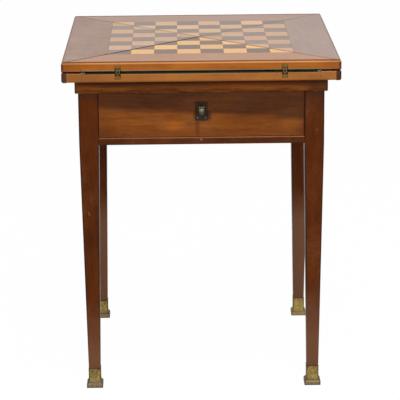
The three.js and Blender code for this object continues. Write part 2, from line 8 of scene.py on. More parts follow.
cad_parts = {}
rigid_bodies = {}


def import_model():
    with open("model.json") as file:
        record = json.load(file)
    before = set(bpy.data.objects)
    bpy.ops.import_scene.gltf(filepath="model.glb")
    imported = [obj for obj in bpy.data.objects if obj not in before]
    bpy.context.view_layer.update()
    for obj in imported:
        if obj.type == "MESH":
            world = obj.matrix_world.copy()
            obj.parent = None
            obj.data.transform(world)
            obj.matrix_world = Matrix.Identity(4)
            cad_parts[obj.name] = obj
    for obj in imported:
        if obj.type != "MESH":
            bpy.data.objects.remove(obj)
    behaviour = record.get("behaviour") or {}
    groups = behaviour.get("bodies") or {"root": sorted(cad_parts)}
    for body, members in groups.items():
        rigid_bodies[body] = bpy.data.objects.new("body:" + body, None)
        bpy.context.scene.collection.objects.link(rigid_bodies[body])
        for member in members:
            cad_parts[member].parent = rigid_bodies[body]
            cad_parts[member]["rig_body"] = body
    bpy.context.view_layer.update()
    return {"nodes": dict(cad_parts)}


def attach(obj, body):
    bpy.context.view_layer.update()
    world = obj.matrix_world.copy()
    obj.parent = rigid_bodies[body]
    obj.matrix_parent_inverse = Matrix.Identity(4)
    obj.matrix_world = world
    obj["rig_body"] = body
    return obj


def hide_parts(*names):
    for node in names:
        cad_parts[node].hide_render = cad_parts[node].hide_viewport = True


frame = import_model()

nodes = frame["nodes"]
quarters = {"front": 0, "right": 1, "back": 2, "left": 3}
sides = {"left": -1, "right": 1}
scene = bpy.context.scene
scene.view_settings.view_transform = "Standard"
print("frame loaded:", len(nodes), "nodes")

# Camera, at the photograph's height and angle; heading turns it off the table's depth lines
cameraLook = {"lens": 171.1, "distance": 4.225, "side": 0.012, "height": 1.5044, "pitch": 15.17,
              "heading": 0.87, "roll": -0.46, "shift": -0.015, "sensor": 36, "farClip": 60}


def makeCamera(look):
    # Stands back and across along its heading, and looks down by its pitch
    heading = math.radians(look["heading"])
    data = bpy.data.cameras.new("studioCamera")
    data.lens = look["lens"]
    data.sensor_width = look["sensor"]
    data.shift_x = look["shift"]
    data.clip_end = look["farClip"]
    camera = bpy.data.objects.new("studioCamera", data)
    camera.location = (
        look["side"] * math.cos(heading) - look["distance"] * math.sin(heading),
        -look["distance"] * math.cos(heading) - look["side"] * math.sin(heading),
        look["height"],
    )
    aim = Euler((math.radians(90 - look["pitch"]), 0, -heading)).to_matrix()
    aim = aim @ Matrix.Rotation(math.radians(look["roll"]), 3, "Z")
    camera.rotation_euler = aim.to_euler()
    scene.collection.objects.link(camera)
    scene.camera = camera


makeCamera(cameraLook)


# Nodes: helpers that add to a tree what their names say
def addNode(tree, kind, settings=None, **values):
    # A node with its properties set and its sockets given values or links
    node = tree.nodes.new("ShaderNode" + kind)
    for key, value in (settings or {}).items():
        setattr(node, key, value)
    for key, value in values.items():
        socket = node.inputs[int(key[1:])] if key[1:].isdigit() else node.inputs[key.replace("_", " ")]
        if isinstance(value, bpy.types.NodeSocket):
            tree.links.new(value, socket)
        else:
            socket.default_value = value
    return node


def math2(tree, operation, first, second=0.0, clamp=False):
    return addNode(tree, "Math", {"operation": operation, "use_clamp": clamp},
                   i0=first, i1=second).outputs[0]


def times(tree, first, second, clamp=False):
    return math2(tree, "MULTIPLY", first, second, clamp)


def plus(tree, first, second, clamp=False):
    return math2(tree, "ADD", first, second, clamp)


def absolute(tree, value):
    return math2(tree, "ABSOLUTE", value)


def positive(tree, value):
    return math2(tree, "GREATER_THAN", value, 0.0)


def axes(tree, place):
    return addNode(tree, "SeparateXYZ", None, Vector=place).outputs


def remap(tree, value, start, end, outStart=0.0, outEnd=1.0):
    # 0 to 1, or outStart to outEnd, while the value goes from start to end
    return addNode(tree, "MapRange", {"clamp": True}, Value=value, From_Min=start, From_Max=end,
                   To_Min=outStart, To_Max=outEnd).outputs[0]


def beyond(tree, value, start, end):
    # How far the size of a coordinate has gone from start to end
    return remap(tree, absolute(tree, value), start, end)


def blendColor(tree, factor, first, second, mode="MIX"):
    node = addNode(tree, "Mix", {"data_type": "RGBA", "blend_type": mode})
    for socket, value in ((node.inputs[0], factor), (node.inputs[6], first), (node.inputs[7], second)):
        if isinstance(value, bpy.types.NodeSocket):
            tree.links.new(value, socket)
        else:
            socket.default_value = value if isinstance(value, float) else (*value, 1)
    return node.outputs[2]


def tinted(tree, color, mask, amount, tone, mode="MIX"):
    # The colour drawn to a tone by a mask times an amount
    return blendColor(tree, times(tree, mask, amount, clamp=True), color, tone, mode)


def layered(tree, split, color, layers):
    # Each layer draws the colour to its tone while a coordinate, or its size, goes from start to end
    for axis, start, end, amount, tone in layers:
        value = absolute(tree, split[axis[1]]) if axis[0] == "|" else split[axis]
        color = tinted(tree, color, remap(tree, value, start, end), amount, tone)
    return color


def patchAt(tree, split, middle, half):
    # Upright patch about (x, z): it fades out across from its middle, and upwards over its outer half
    off = [absolute(tree, math2(tree, "SUBTRACT", split[axis], at)) for axis, at in zip("XZ", middle)]
    return times(tree, remap(tree, off[0], half[0], 0.0), remap(tree, off[1], half[1], half[1] / 2))


# Studio: soft light from above and in front, white floor and background
studio = {
    "worldColor": (1.0, 0.985, 0.965), "worldStrength": 0.32,
    "keyPlace": (0.2, -1.1, 3.2), "keySize": 1.6, "keyPower": 54, "lampColor": (1.0, 0.97, 0.93),
    "fillPlace": (0.5, -3.2, 1.75), "fillSize": 0.9, "fillPower": 64, "aimHeight": 0.45,
    "floorHalf": 9, "floorDrop": 0.0002, "floorColor": (1.0, 0.995, 0.985), "floorGlow": 0.985,
}


def backgroundRays(tree):
    # 1 where a camera, glossy or transmission ray looks, and 0 for the rays that carry light
    rays = addNode(tree, "LightPath").outputs
    seen = math2(tree, "MAXIMUM", rays["Is Camera Ray"], rays["Is Glossy Ray"])
    return math2(tree, "MAXIMUM", seen, rays["Is Transmission Ray"])


def showMixed(tree, output, factor, first, second):
    # Two shaders mixed by a factor, into the tree's output
    mix = addNode(tree, "MixShader", None, i0=factor, i1=first.outputs[0], i2=second.outputs[0])
    addNode(tree, output, None, Surface=mix.outputs[0])


def linked(name, data):
    # A new object in the scene
    obj = bpy.data.objects.new(name, data)
    scene.collection.objects.link(obj)
    return obj


def makeStudio(look):
    # World, two round lamps aimed down at the table, and the floor
    world = bpy.data.worlds.new("studioWorld")
    scene.world = world
    world.use_nodes = True
    tree = world.node_tree
    tree.nodes.clear()
    light = addNode(tree, "Background", None, Color=(*look["worldColor"], 1),
                    Strength=look["worldStrength"])
    showMixed(tree, "OutputWorld", backgroundRays(tree), light,
              addNode(tree, "Background", None, Color=(1, 1, 1, 1)))
    for name in ("key", "fill"):
        lamp = bpy.data.lights.new(name + "Light", "AREA")
        lamp.shape = "DISK"
        lamp.size = look[name + "Size"]
        lamp.energy = look[name + "Power"]
        lamp.color = look["lampColor"]
        holder = linked(name + "Light", lamp)
        holder.location = look[name + "Place"]
        aim = holder.location.copy()
        aim.z -= look["aimHeight"]
        holder.rotation_euler = aim.to_track_quat("Z", "Y").to_euler()
    mesh = bpy.data.meshes.new("studioFloor")
    half, level = look["floorHalf"], -look["floorDrop"]
    corners = [(half * x, half * y, level) for x, y in ((-1, -1), (1, -1), (1, 1), (-1, 1))]
    mesh.from_pydata(corners, [], [(0, 1, 2, 3)])
    floor = linked("studioFloor", mesh)
    material = bpy.data.materials.new("studioFloor")
    material.use_nodes = True
    tree = material.node_tree
    tree.nodes.clear()
    matt = addNode(tree, "BsdfDiffuse", None, Color=(*look["floorColor"], 1))
    share = times(tree, backgroundRays(tree), look["floorGlow"])
    showMixed(tree, "OutputMaterial", share, matt, addNode(tree, "Emission"))
    mesh.materials.append(material)


makeStudio(studio)
print("studio and camera made")

# Sizes that several pieces share; over is how far a cutter stands out of what it cuts
top = {"half": 0.295, "leafBottom": 0.720, "leafTop": 0.740, "bedTop": 0.717, "bedBottom": 0.697,
       "hingePlace": 0.176, "hingeHalf": 0.0064, "square": 0.05, "over": 0.002}
carcase = {"half": 0.2625, "topZ": 0.6965, "bottomZ": 0.6685, "railTop": 0.570, "apronBottom": 0.554,
           "legWidth": 0.042, "legInner": 0.2205, "joint": 0.0002}


# Shader groups, each built once
def newGroup(name, outputs, **numbers):
    # Takes a Vector and the named numbers, and gives the named kinds of output
    group = bpy.data.node_groups.new(name, "ShaderNodeTree")
    group.interface.new_socket("Vector", in_out="INPUT", socket_type="NodeSocketVector")
    for label, value in numbers.items():
        socket = group.interface.new_socket(label, in_out="INPUT", socket_type="NodeSocketFloat")
        socket.default_value = value
    for label, kind in outputs.items():
        group.interface.new_socket(label, in_out="OUTPUT", socket_type="NodeSocket" + kind)
    start = group.nodes.new("NodeGroupInput")
    end = group.nodes.new("NodeGroupOutput")
    return group, start.outputs, end.inputs


def useGroup(tree, group, **values):
    # Outputs of a group that is given values or links
    return addNode(tree, "Group", {"node_tree": group}, **values).outputs


# Stretch, scale, detail and distortion of each noise in the grain, and where its output is cut
grainNoise = {"long": ((0.55, 9.0, 9.0), 9.0, 6.0, 0.35), "fleck": ((2.0, 22.0, 22.0), 14.0, 3.0, 0.0),
              "figure": ((1.0, 2.6, 2.6), 5.0, 3.0, 0.8), "pores": ((1.6, 34.0, 34.0), 26.0, 2.0, 0.0)}
grainCuts = {"streak": (0.33, 0.67), "figure": (0.3, 0.7), "pores": (0.57, 0.7)}
grainRoughness, longShare = 0.62, 0.68


def makeGrainGroup():
    # Wood whose grain runs along X: long streaks with short flecks, broad figure, fine pores
    group, start, end = newGroup("woodGrain", {"Streak": "Float", "Figure": "Float", "Pores": "Float"})

    def noise(kind):
        stretch, scale, detail, distortion = grainNoise[kind]
        scaled = addNode(group, "VectorMath", {"operation": "MULTIPLY"}, i0=start["Vector"], i1=stretch)
        return addNode(group, "TexNoise", None, Vector=scaled.outputs[0], Scale=scale,
                       Detail=detail, Roughness=grainRoughness, Distortion=distortion).outputs[0]

    streak = plus(group, times(group, noise("long"), longShare),
                  times(group, noise("fleck"), 1 - longShare))
    for label, value in (("Streak", streak), ("Figure", noise("figure")), ("Pores", noise("pores"))):
        group.links.new(remap(group, value, *grainCuts[label.lower()]), end[label])
    return group


cellHeight, cellShift = 10.0, (3.0, 3.0, 3.0)


def makeCellGroup():
    # One random number for each chess square, from the whole part of the place in squares, and the
    # place moved by up to cellShift, so that each square is cut from another stretch of grain
    group, start, end = newGroup("squareTone", {"Tone": "Float", "Vector": "Vector"},
                                 Size=top["square"])
    size = addNode(group, "CombineXYZ", None, X=start["Size"], Y=start["Size"], Z=cellHeight)
    cell = addNode(group, "VectorMath", {"operation": "DIVIDE"}, i0=start["Vector"], i1=size.outputs[0])
    whole = addNode(group, "VectorMath", {"operation": "FLOOR"}, i0=cell.outputs[0])
    tone = addNode(group, "TexWhiteNoise", {"noise_dimensions": "3D"}, Vector=whole.outputs[0])
    shift = addNode(group, "VectorMath", {"operation": "MULTIPLY_ADD"}, i0=tone.outputs["Color"],
                    i1=cellShift, i2=start["Vector"])
    group.links.new(tone.outputs["Value"], end["Tone"])
    group.links.new(shift.outputs[0], end["Vector"])
    return group


# Detail and roughness of the broad noise; scale, detail and roughness of the fine one; the cuts
wearLook = {"broad": (5.0, 0.65), "fine": (420.0, 3.0, 0.7), "dirt": (0.36, 0.66),
            "broadScuff": (0.5, 0.68), "fineScuff": (0.42, 0.62)}


def makeWearGroup():
    # Scuffs and old dirt: broad patches with fine speckle in them
    group, start, end = newGroup("surfaceWear", {"Dirt": "Float", "Scuff": "Float"}, Patch=30.0)
    broad, fine = (addNode(group, "TexNoise", None, Vector=start["Vector"], Scale=scale, Detail=detail,
                           Roughness=roughness).outputs[0]
                   for scale, detail, roughness in ((start["Patch"], *wearLook["broad"]), wearLook["fine"]))
    scuff = times(group, remap(group, broad, *wearLook["broadScuff"]),
                  remap(group, fine, *wearLook["fineScuff"]))
    group.links.new(remap(group, broad, *wearLook["dirt"]), end["Dirt"])
    group.links.new(scuff, end["Scuff"])
    return group


# Lines on the closed leaves: where each starts and is full, and how strong each mitre is
leafMarks = {"mitre": (0.0046, 0.003), "band": (0.2824, 0.2842), "corner": (0.2893, 0.2912),
             "fade": (0.185, 0.225, 1.0, 0.5), "depth": 0.3, "leftDepth": 0.25, "frontDepth": 0.5,
             # Colours of the four mitre lines: painted light and shade on the small step between the leaves
             "frontRight": (0.24, 0.075, 0.012), "frontLeft": (0.02, 0.01, 0.008),
             "backRight": (0.2, 0.11, 0.07), "backLeft": (0.26, 0.1, 0.03)}


def makeLeafGroup(look):
    # From how far each place is off the mitres, edges and corners
    group, start, end = newGroup("leafLines", {"Mitre": "Float", "Color": "Color", "Band": "Float",
                                               "CornerShade": "Float"})
    split = axes(group, start["Vector"])
    across, along = absolute(group, split["X"]), absolute(group, split["Y"])
    far, near = math2(group, "MAXIMUM", across, along), math2(group, "MINIMUM", across, along)
    left = math2(group, "LESS_THAN", split["X"], 0.0)
    front = math2(group, "LESS_THAN", split["Y"], 0.0)
    frontColor = blendColor(group, left, look["frontRight"], look["frontLeft"])
    backColor = blendColor(group, left, look["backRight"], look["backLeft"])
    group.links.new(blendColor(group, front, backColor, frontColor), end["Color"])
    sideDepth = plus(group, times(group, left, look["leftDepth"]), look["depth"])
    depth = plus(group, times(group, front, look["frontDepth"]), sideDepth)
    depth = times(group, math2(group, "MINIMUM", depth, 1.0), remap(group, far, *look["fade"]))
    line = remap(group, math2(group, "SUBTRACT", far, near), *look["mitre"])
    group.links.new(times(group, line, depth, clamp=True), end["Mitre"])
    group.links.new(remap(group, along, *look["band"]), end["Band"])
    group.links.new(remap(group, near, *look["corner"]), end["CornerShade"])
    return group


grainGroup = makeGrainGroup()
cellGroup = makeCellGroup()
wearGroup = makeWearGroup()
leafGroup = makeLeafGroup(leafMarks)

# Turns that bring the grain's run onto X
grainTurns = {"x": (0, 0, 0), "y": (0, 0, -math.pi / 2), "z": (0, math.pi / 2, 0)}


def newMaterial(name, roughness, metallic=0.0, specular=0.5, coat=0.0, coatRoughness=0.1, sheen=0.0):
    material = bpy.data.materials.new(name)
    material.use_nodes = True
    tree = material.node_tree
    shader = tree.nodes["Principled BSDF"].inputs
    for label, value in (("Metallic", metallic), ("Roughness", roughness), ("Coat Weight", coat),
                         ("Specular IOR Level", specular), ("Coat Roughness", coatRoughness),
                         ("Sheen Weight", sheen)):
        shader[label].default_value = value
    return material, tree, shader, addNode(tree, "TexCoord").outputs["Object"]


def linkSurface(tree, shader, color, rough, height, strength, distance):
    # Colour, roughness where it varies, and a bump from a height
    tree.links.new(color, shader["Base Color"])
    if rough is not None:
        tree.links.new(rough, shader["Roughness"])
    bump = addNode(tree, "Bump", None, Strength=strength, Distance=distance, Height=height)
    tree.links.new(bump.outputs[0], shader["Normal"])


def grainAlong(tree, vector, run):
    # The grain group, turned so that its X lies along the run
    along = addNode(tree, "Mapping", None, Vector=vector, Rotation=grainTurns[run])
    return useGroup(tree, grainGroup, Vector=along.outputs[0])


veneerPolish = {"roughness": 0.5, "specular": 0.0, "pores": 0.25, "coat": 0.62, "coatRoughness": 0.2}
woodLooks = {
    "legWood": {"dark": (0.037, 0.0066, 0.0004), "light": (0.101, 0.0225, 0.0017), "roughness": 0.36,
                "specular": 0.055, "figure": 0.5, "pores": 0.5, "scuff": (0.2, 0.075, 0.028)},
    "railWood": {"dark": (0.034, 0.0064, 0.0005), "light": (0.09, 0.0195, 0.002), "roughness": 0.36,
                 "specular": 0.07, "figure": 0.5, "pores": 0.5, "scuff": (0.18, 0.075, 0.03)},
    # Paler wood for the rail's rounded top arris: a painted highlight
    "highlitEdge": {"dark": (0.115, 0.041, 0.015), "light": (0.25, 0.1, 0.04), "roughness": 0.45,
                 "specular": 0.15, "figure": 0.5, "pores": 0.4, "scuff": (0.3, 0.15, 0.075)},
    "drawerWood": {"dark": (0.076, 0.019, 0.0012), "light": (0.245, 0.069, 0.0058), "roughness": 0.38,
                   "specular": 0.09, "figure": 0.35, "pores": 0.5, "scuff": (0.26, 0.1, 0.035)},
    "mouldingWood": {"dark": (0.058, 0.0135, 0.0013), "light": (0.21, 0.059, 0.0065), "roughness": 0.36,
                     "specular": 0.06, "figure": 0.4, "pores": 0.5, "scuff": (0.28, 0.11, 0.035)},
    "edgeWood": {"dark": (0.17, 0.043, 0.002), "light": (0.355, 0.109, 0.0085), "roughness": 0.33,
                 "specular": 0.13, "figure": 0.6, "pores": 0.3, "scuff": (0.44, 0.19, 0.06)},
    "bedEdge": {"dark": (0.185, 0.056, 0.0045), "light": (0.32, 0.113, 0.016), "roughness": 0.36,
                "specular": 0.18, "figure": 0.6, "pores": 0.3, "scuff": (0.42, 0.21, 0.09)},
    "shadedEdge": {"dark": (0.1, 0.034, 0.016), "light": (0.2, 0.075, 0.03), "roughness": 0.4,
                   "specular": 0.2, "figure": 0.5, "pores": 0.3, "scuff": (0.3, 0.15, 0.07)},
    "endGrain": {"dark": (0.03, 0.0105, 0.004), "light": (0.12, 0.047, 0.02), "roughness": 0.5,
                 "specular": 0.04, "figure": 0.3, "pores": 0.8, "scuff": (0.2, 0.1, 0.05)},
    # The side and back leaves' greyer tones and their stronger haze are painted reflection of the light
    "frontVeneer": {**veneerPolish, "dark": (0.28, 0.107, 0.033), "light": (0.41, 0.17, 0.058),
                    "figure": 0.55, "scuff": (0.45, 0.23, 0.11), "sheenAndDirt": 0.15},
    "rightVeneer": {**veneerPolish, "dark": (0.225, 0.128, 0.094), "light": (0.325, 0.2, 0.154),
                    "figure": 0.55, "scuff": (0.38, 0.26, 0.19), "sheenAndDirt": 0.3},
    "backVeneer": {**veneerPolish, "dark": (0.28, 0.134, 0.08), "light": (0.39, 0.204, 0.125),
                   "figure": 0.55, "scuff": (0.43, 0.27, 0.17), "sheenAndDirt": 0.2},
    "leftVeneer": {**veneerPolish, "dark": (0.165, 0.061, 0.022), "light": (0.295, 0.123, 0.05),
                   "figure": 0.6, "scuff": (0.36, 0.21, 0.12), "sheenAndDirt": 0.48},
    "innerWood": {"dark": (0.14, 0.04, 0.012), "light": (0.27, 0.09, 0.024), "roughness": 0.42,
                  "specular": 0.3, "figure": 0.5, "pores": 0.5, "scuff": (0.35, 0.18, 0.09)},
    "drawerOak": {"dark": (0.2, 0.115, 0.05), "light": (0.42, 0.27, 0.13), "roughness": 0.62,
                  "specular": 0.2, "figure": 0.6, "pores": 0.9, "scuff": (0.5, 0.36, 0.2)},
    "rawPine": {"dark": (0.32, 0.18, 0.075), "light": (0.5, 0.32, 0.15), "roughness": 0.7,
                "specular": 0.2, "figure": 0.7, "pores": 0.2, "scuff": (0.55, 0.4, 0.22)},
}
# Dark tone for real grime, and for painted shade on arrises, corners and lower edges
grimeAndShadeColor = (0.022, 0.01, 0.007)
# Greyish tone laid on in the dirt's pattern: painted reflection of the light, with dirt
sheenAndDirtColor = (0.26, 0.175, 0.125)
# Painted shade in the gaps between parts
gapShadeColor = (0.024, 0.005, 0.0005)
lippingColor = (0.17, 0.05, 0.008)

# Marks of each finish: where they start and are full, in metres, how strong they are and their
# colour; the legs' arris has two strengths, the second beside the drawer
# Marks for painted shade on the arrises and at the tops, and painted light from the floor low down
legMarks = {"byDrawer": (0.228, 0.2245), "arris": (0.85, 0.35), "topShadow": (0.647, 0.662), "topShadowShare": 0.42,
            "rightTopShadow": (0.612, 0.64), "rightShare": 0.22,
            "scratchX": -0.245, "scratchZ": 0.401, "scratchLean": 0.25, "scratchWidth": (0.0011, 0.0005),
            "scratchHeight": (0.0052, 0.003), "chip": (0.2463, 0.5836), "chipHalf": (0.0016, 0.0018),
            "front": (-0.25, -0.255), "markShare": 0.6, "markColor": (0.27, 0.13, 0.07),
            "frontLow": (0.2, 0.07), "rightRise": 0.04, "backLow": (0.32, 0.245),
            "lowShare": 0.62, "backMore": 0.16, "backRightMore": 0.12, "floorLightColor": (0.155, 0.072, 0.04)}


def legShade(tree, place, color, wear):
    # Painted shade on the arrises, fainter beside the drawer, painted shadow at the tops, a scratch and a
    # chip, and the feet paler with painted light from the floor, further up on the back legs
    marks = legMarks
    split = axes(tree, place)
    right, back = positive(tree, split["X"]), positive(tree, split["Y"])
    edge = addNode(tree, "Attribute", {"attribute_name": "edge"}).outputs["Fac"]
    beside = times(tree, beyond(tree, split["X"], *marks["byDrawer"]),
                   math2(tree, "GREATER_THAN", split["Z"], carcase["apronBottom"]))
    color = tinted(tree, color, edge, remap(tree, beside, 0.0, 1.0, *marks["arris"]), grimeAndShadeColor)
    topShadow = remap(tree, split["Z"], *marks["topShadow"])
    color = tinted(tree, color, topShadow, marks["topShadowShare"], grimeAndShadeColor)
    topShadow = remap(tree, split["Z"], *marks["rightTopShadow"])
    color = tinted(tree, color, topShadow, times(tree, right, marks["rightShare"]), grimeAndShadeColor)
    height = plus(tree, split["Z"], -marks["scratchZ"])
    lean = plus(tree, times(tree, height, marks["scratchLean"]), split["X"])
    scratch = times(tree, beyond(tree, plus(tree, lean, -marks["scratchX"]), *marks["scratchWidth"]),
                    beyond(tree, height, *marks["scratchHeight"]))
    worn = math2(tree, "MAXIMUM", scratch, patchAt(tree, split, marks["chip"], marks["chipHalf"]))
    worn = times(tree, worn, remap(tree, split["Y"], *marks["front"]))
    color = tinted(tree, color, worn, marks["markShare"], marks["markColor"])
    lowered = math2(tree, "SUBTRACT", split["Z"], times(tree, right, marks["rightRise"]))
    low = math2(tree, "MAXIMUM", remap(tree, lowered, *marks["frontLow"]),
                times(tree, remap(tree, split["Z"], *marks["backLow"]), back))
    more = plus(tree, times(tree, right, marks["backRightMore"]), marks["backMore"])
    share = plus(tree, times(tree, back, more), marks["lowShare"])
    return tinted(tree, color, low, share, marks["floorLightColor"])


railMarks = {"low": (0.5565, 0.5552), "front": (-0.2603, -0.2611), "lowShare": 0.85,
             "chip": (-0.001, 0.5645), "chipHalf": (0.0026, 0.0032), "chipShare": 0.7,
             "chipColor": (0.3, 0.15, 0.08)}


def railShade(tree, place, color, wear):
    # Painted shade along its lower arris, and a chip near the middle
    marks = railMarks
    split = axes(tree, place)
    under = times(tree, remap(tree, split["Z"], *marks["low"]), remap(tree, split["Y"], *marks["front"]))
    color = tinted(tree, color, under, marks["lowShare"], grimeAndShadeColor)
    chip = patchAt(tree, split, marks["chip"], marks["chipHalf"])
    return tinted(tree, color, chip, marks["chipShare"], marks["chipColor"])


def wavyHeight(tree, split, wear, size):
    # Height, with the edges of its bands made uneven by the wear
    return plus(tree, split["Z"], times(tree, wear["Dirt"], size))


drawerMarks = {
    # Painted shadow of the overhang: how its line falls to the right and wavers, where it starts and is full,
    # its share and tint
    "fall": 0.063, "waver": 0.004, "shadowLine": (0.6180, 0.6300), "shadowShare": 0.76,
    "shadowTint": (0.17, 0.145, 0.28), "dark": (0.06, 0.012, 0.002),
    "bands": [("Z", 0.592, 0.578, 0.38), ("X", -0.175, -0.215, 0.3), ("X", 0.2, 0.222, 0.48)],
    # Middle, half size, share, colour and way of blending: pale patch, dark ring, run, and painted shadow
    # round the plate
    "patches": [((-0.06, 0.595), (0.034, 0.013), 0.4, (0.4, 0.11, 0.011), "MIX"),
                ((0.0, 0.627), (0.026, 0.03), 0.4, (0.06, 0.012, 0.003), "MIX"),
                ((-0.009, 0.593), (0.008, 0.03), 0.7, (0.075, 0.014, 0.002), "MIX"),
                ((0.0025, 0.6165), (0.022, 0.013), 2.0, (0.25, 0.2, 0.2), "MULTIPLY")],
    # Painted shade in the gaps at both ends, deeper at the right
    "rightGapShade": (0.2168, 0.218), "rightShare": 0.65, "ends": (0.2189, 0.2195), "endShare": 0.5,
    "gapShadeTone": (0.03, 0.008, 0.003),
}


def drawerShade(tree, place, color, wear):
    # Painted shadow of the overhang down to a line that falls to the right; darker along the bottom
    # and at both ends; a pale patch, a dark ring and run, painted shadow round the plate, and painted shade
    # in the end gaps
    marks = drawerMarks
    split = axes(tree, place)
    across = split["X"]
    wavy = plus(tree, wavyHeight(tree, split, wear, marks["waver"]), times(tree, across, marks["fall"]))
    shadowed = remap(tree, wavy, *marks["shadowLine"])
    color = tinted(tree, color, shadowed, marks["shadowShare"], marks["shadowTint"], "MULTIPLY")
    color = layered(tree, split, color, [(*band, marks["dark"]) for band in marks["bands"]])
    for middle, half, share, tone, mode in marks["patches"]:
        color = tinted(tree, color, patchAt(tree, split, middle, half), share, tone, mode)
    joint = math2(tree, "MAXIMUM",
                  times(tree, remap(tree, across, *marks["rightGapShade"]), marks["rightShare"]),
                  times(tree, beyond(tree, across, *marks["ends"]), marks["endShare"]))
    return blendColor(tree, joint, color, marks["gapShadeTone"])


# Waver, line and share of the painted shade above, a shadow under the bed, and below, along the
# lower arris, then the other marks; rubbed is the wear's dirt where the lower arris starts to be pale and is
# palest
mouldingMarks = {"upper": (0.003, (0.6803, 0.6888), 0.88), "lower": (0.008, (0.6812, 0.676), 0.6),
                 "shadowTint": (0.3, 0.22, 0.1), "rightEnd": (0.215, 0.24), "seamX": -0.2095,
                 "seam": (0.0006, 0.0002), "grimeShare": 0.35, "arris": (0.6710, 0.6702),
                 "rubbed": (0.5, 0.3), "arrisShare": 0.36, "arrisColor": (0.27, 0.11, 0.035)}


def mouldingShade(tree, place, color, wear):
    # Painted shadow up under the bed, painted shade along the lower arris, darker at the right end, a seam
    # near the left end, and the lower arris worn pale in places
    marks = mouldingMarks
    split = axes(tree, place)
    upper, lower = (times(tree, remap(tree, wavyHeight(tree, split, wear, waver), *line), share)
                    for waver, line, share in (marks["upper"], marks["lower"]))
    color = blendColor(tree, plus(tree, upper, lower, clamp=True), color, marks["shadowTint"], "MULTIPLY")
    seam = beyond(tree, plus(tree, split["X"], -marks["seamX"]), *marks["seam"])
    for mask in (remap(tree, split["X"], *marks["rightEnd"]), seam):
        color = tinted(tree, color, mask, marks["grimeShare"], grimeAndShadeColor)
    arris = times(tree, remap(tree, split["Z"], *marks["arris"]),
                  remap(tree, wear["Dirt"], *marks["rubbed"]))
    return tinted(tree, color, arris, marks["arrisShare"], marks["arrisColor"])


edgeMarks = {
    "cornerShadeShare": 0.85,
    # A painted highlight towards the top, pale along the lower arris, a line along the top one, dark at the
    # ends
    "layers": [("Z", 0.7355, 0.7378, 0.85, (0.455, 0.205, 0.058)),
               ("Z", 0.7242, 0.7232, 0.3, (0.36, 0.2, 0.11)),
               ("Z", 0.7388, 0.7393, 1.0, lippingColor),
               ("|X|", 0.235, 0.285, 0.42, (0.09, 0.02, 0.002))],
    "crackX": 0.1075, "crackLean": 0.5, "crackWidth": (0.0009, 0.0004), "crackLow": (0.7262, 0.7245),
    "pastBaize": (0.2505, 0.2535), "gapLow": (0.7226, 0.7212), "gapShadeShare": 0.85,
}


def edgeShade(tree, place, color, wear):
    # Painted shade at the corners where the leaves meet, bands along both arrises, the top one a painted
    # highlight, darker ends, a crack up from the lower arris, and painted shade, nearly black, on that arris
    # beyond the ends of the baize
    marks = edgeMarks
    lines = useGroup(tree, leafGroup, Vector=place)
    color = tinted(tree, color, lines["CornerShade"], marks["cornerShadeShare"], grimeAndShadeColor)
    split = axes(tree, place)
    color = layered(tree, split, color, marks["layers"])
    lean = plus(tree, times(tree, split["Z"], marks["crackLean"]), split["X"])
    crack = beyond(tree, plus(tree, lean, -marks["crackX"]), *marks["crackWidth"])
    color = tinted(tree, color, crack, remap(tree, split["Z"], *marks["crackLow"]), grimeAndShadeColor)
    outer = times(tree, beyond(tree, split["X"], *marks["pastBaize"]),
                  remap(tree, split["Z"], *marks["gapLow"]))
    return tinted(tree, color, outer, marks["gapShadeShare"], gapShadeColor)


veneerMarks = {"lippingShare": 0.95, "wornFull": 0.8, "wornCoat": 0.04}


def veneerShade(tree, place, color, wear):
    # Wooden lipping along the outer edge, and the mitres drawn as lines of painted light and shade on the
    # step between the leaves
    lines = useGroup(tree, leafGroup, Vector=place)
    color = tinted(tree, color, lines["Band"], veneerMarks["lippingShare"], lippingColor)
    return blendColor(tree, lines["Mitre"], color, lines["Color"])


bedMarks = {
    "jointX": 0.2515, "joint": (0.0008, 0.0003), "jointShare": 0.4, "dark": (0.1, 0.03, 0.004),
    # Darker towards both ends, and painted shade on the lower arris
    "bands": [("X", -0.16, -0.235, 0.36), ("X", 0.2, 0.27, 0.12), ("Z", 0.7012, 0.6998, 0.3)],
    "block": 0.2526, "blockRise": 0.0016, "rubbed": (0.7138, 0.7146), "rubbedShare": 0.7,
    "stripTone": (0.42, 0.2, 0.1), "blockTone": (0.22, 0.115, 0.065), "inside": (0.2942, 0.293),
}


def bedShade(tree, place, color, wear):
    # The joint of the wooden corner block is a fine line, the ends are dark, the lower arris has painted
    # shade, the top arris is rubbed, and the top of the block has painted shade inside the gap
    marks = bedMarks
    split = axes(tree, place)
    offset, depth = absolute(tree, split["X"]), absolute(tree, split["Y"])
    line = beyond(tree, plus(tree, offset, -marks["jointX"]), *marks["joint"])
    color = tinted(tree, color, line, marks["jointShare"], grimeAndShadeColor)
    color = layered(tree, split, color, [(*band, marks["dark"]) for band in marks["bands"]])
    block = math2(tree, "GREATER_THAN", math2(tree, "MINIMUM", offset, depth), marks["block"])
    level = math2(tree, "SUBTRACT", split["Z"], times(tree, block, marks["blockRise"]))
    rubbed = remap(tree, level, *marks["rubbed"])
    tone = blendColor(tree, block, marks["stripTone"], marks["blockTone"])
    color = tinted(tree, color, rubbed, marks["rubbedShare"], tone)
    inside = remap(tree, math2(tree, "MAXIMUM", offset, depth), *marks["inside"])
    return tinted(tree, color, inside, times(tree, rubbed, block), gapShadeColor)


endMarks = {"rightShare": 0.6, "rightColor": (0.03, 0.011, 0.003),
            "arris": [("|X|", 0.2915, 0.2935, 0.8, grimeAndShadeColor)]}


def endShade(tree, place, color, wear):
    # Darker at the right, and the outermost arris of the end grain is nearly black
    split = axes(tree, place)
    right = positive(tree, split["X"])
    color = tinted(tree, color, right, endMarks["rightShare"], endMarks["rightColor"])
    return layered(tree, split, color, endMarks["arris"])


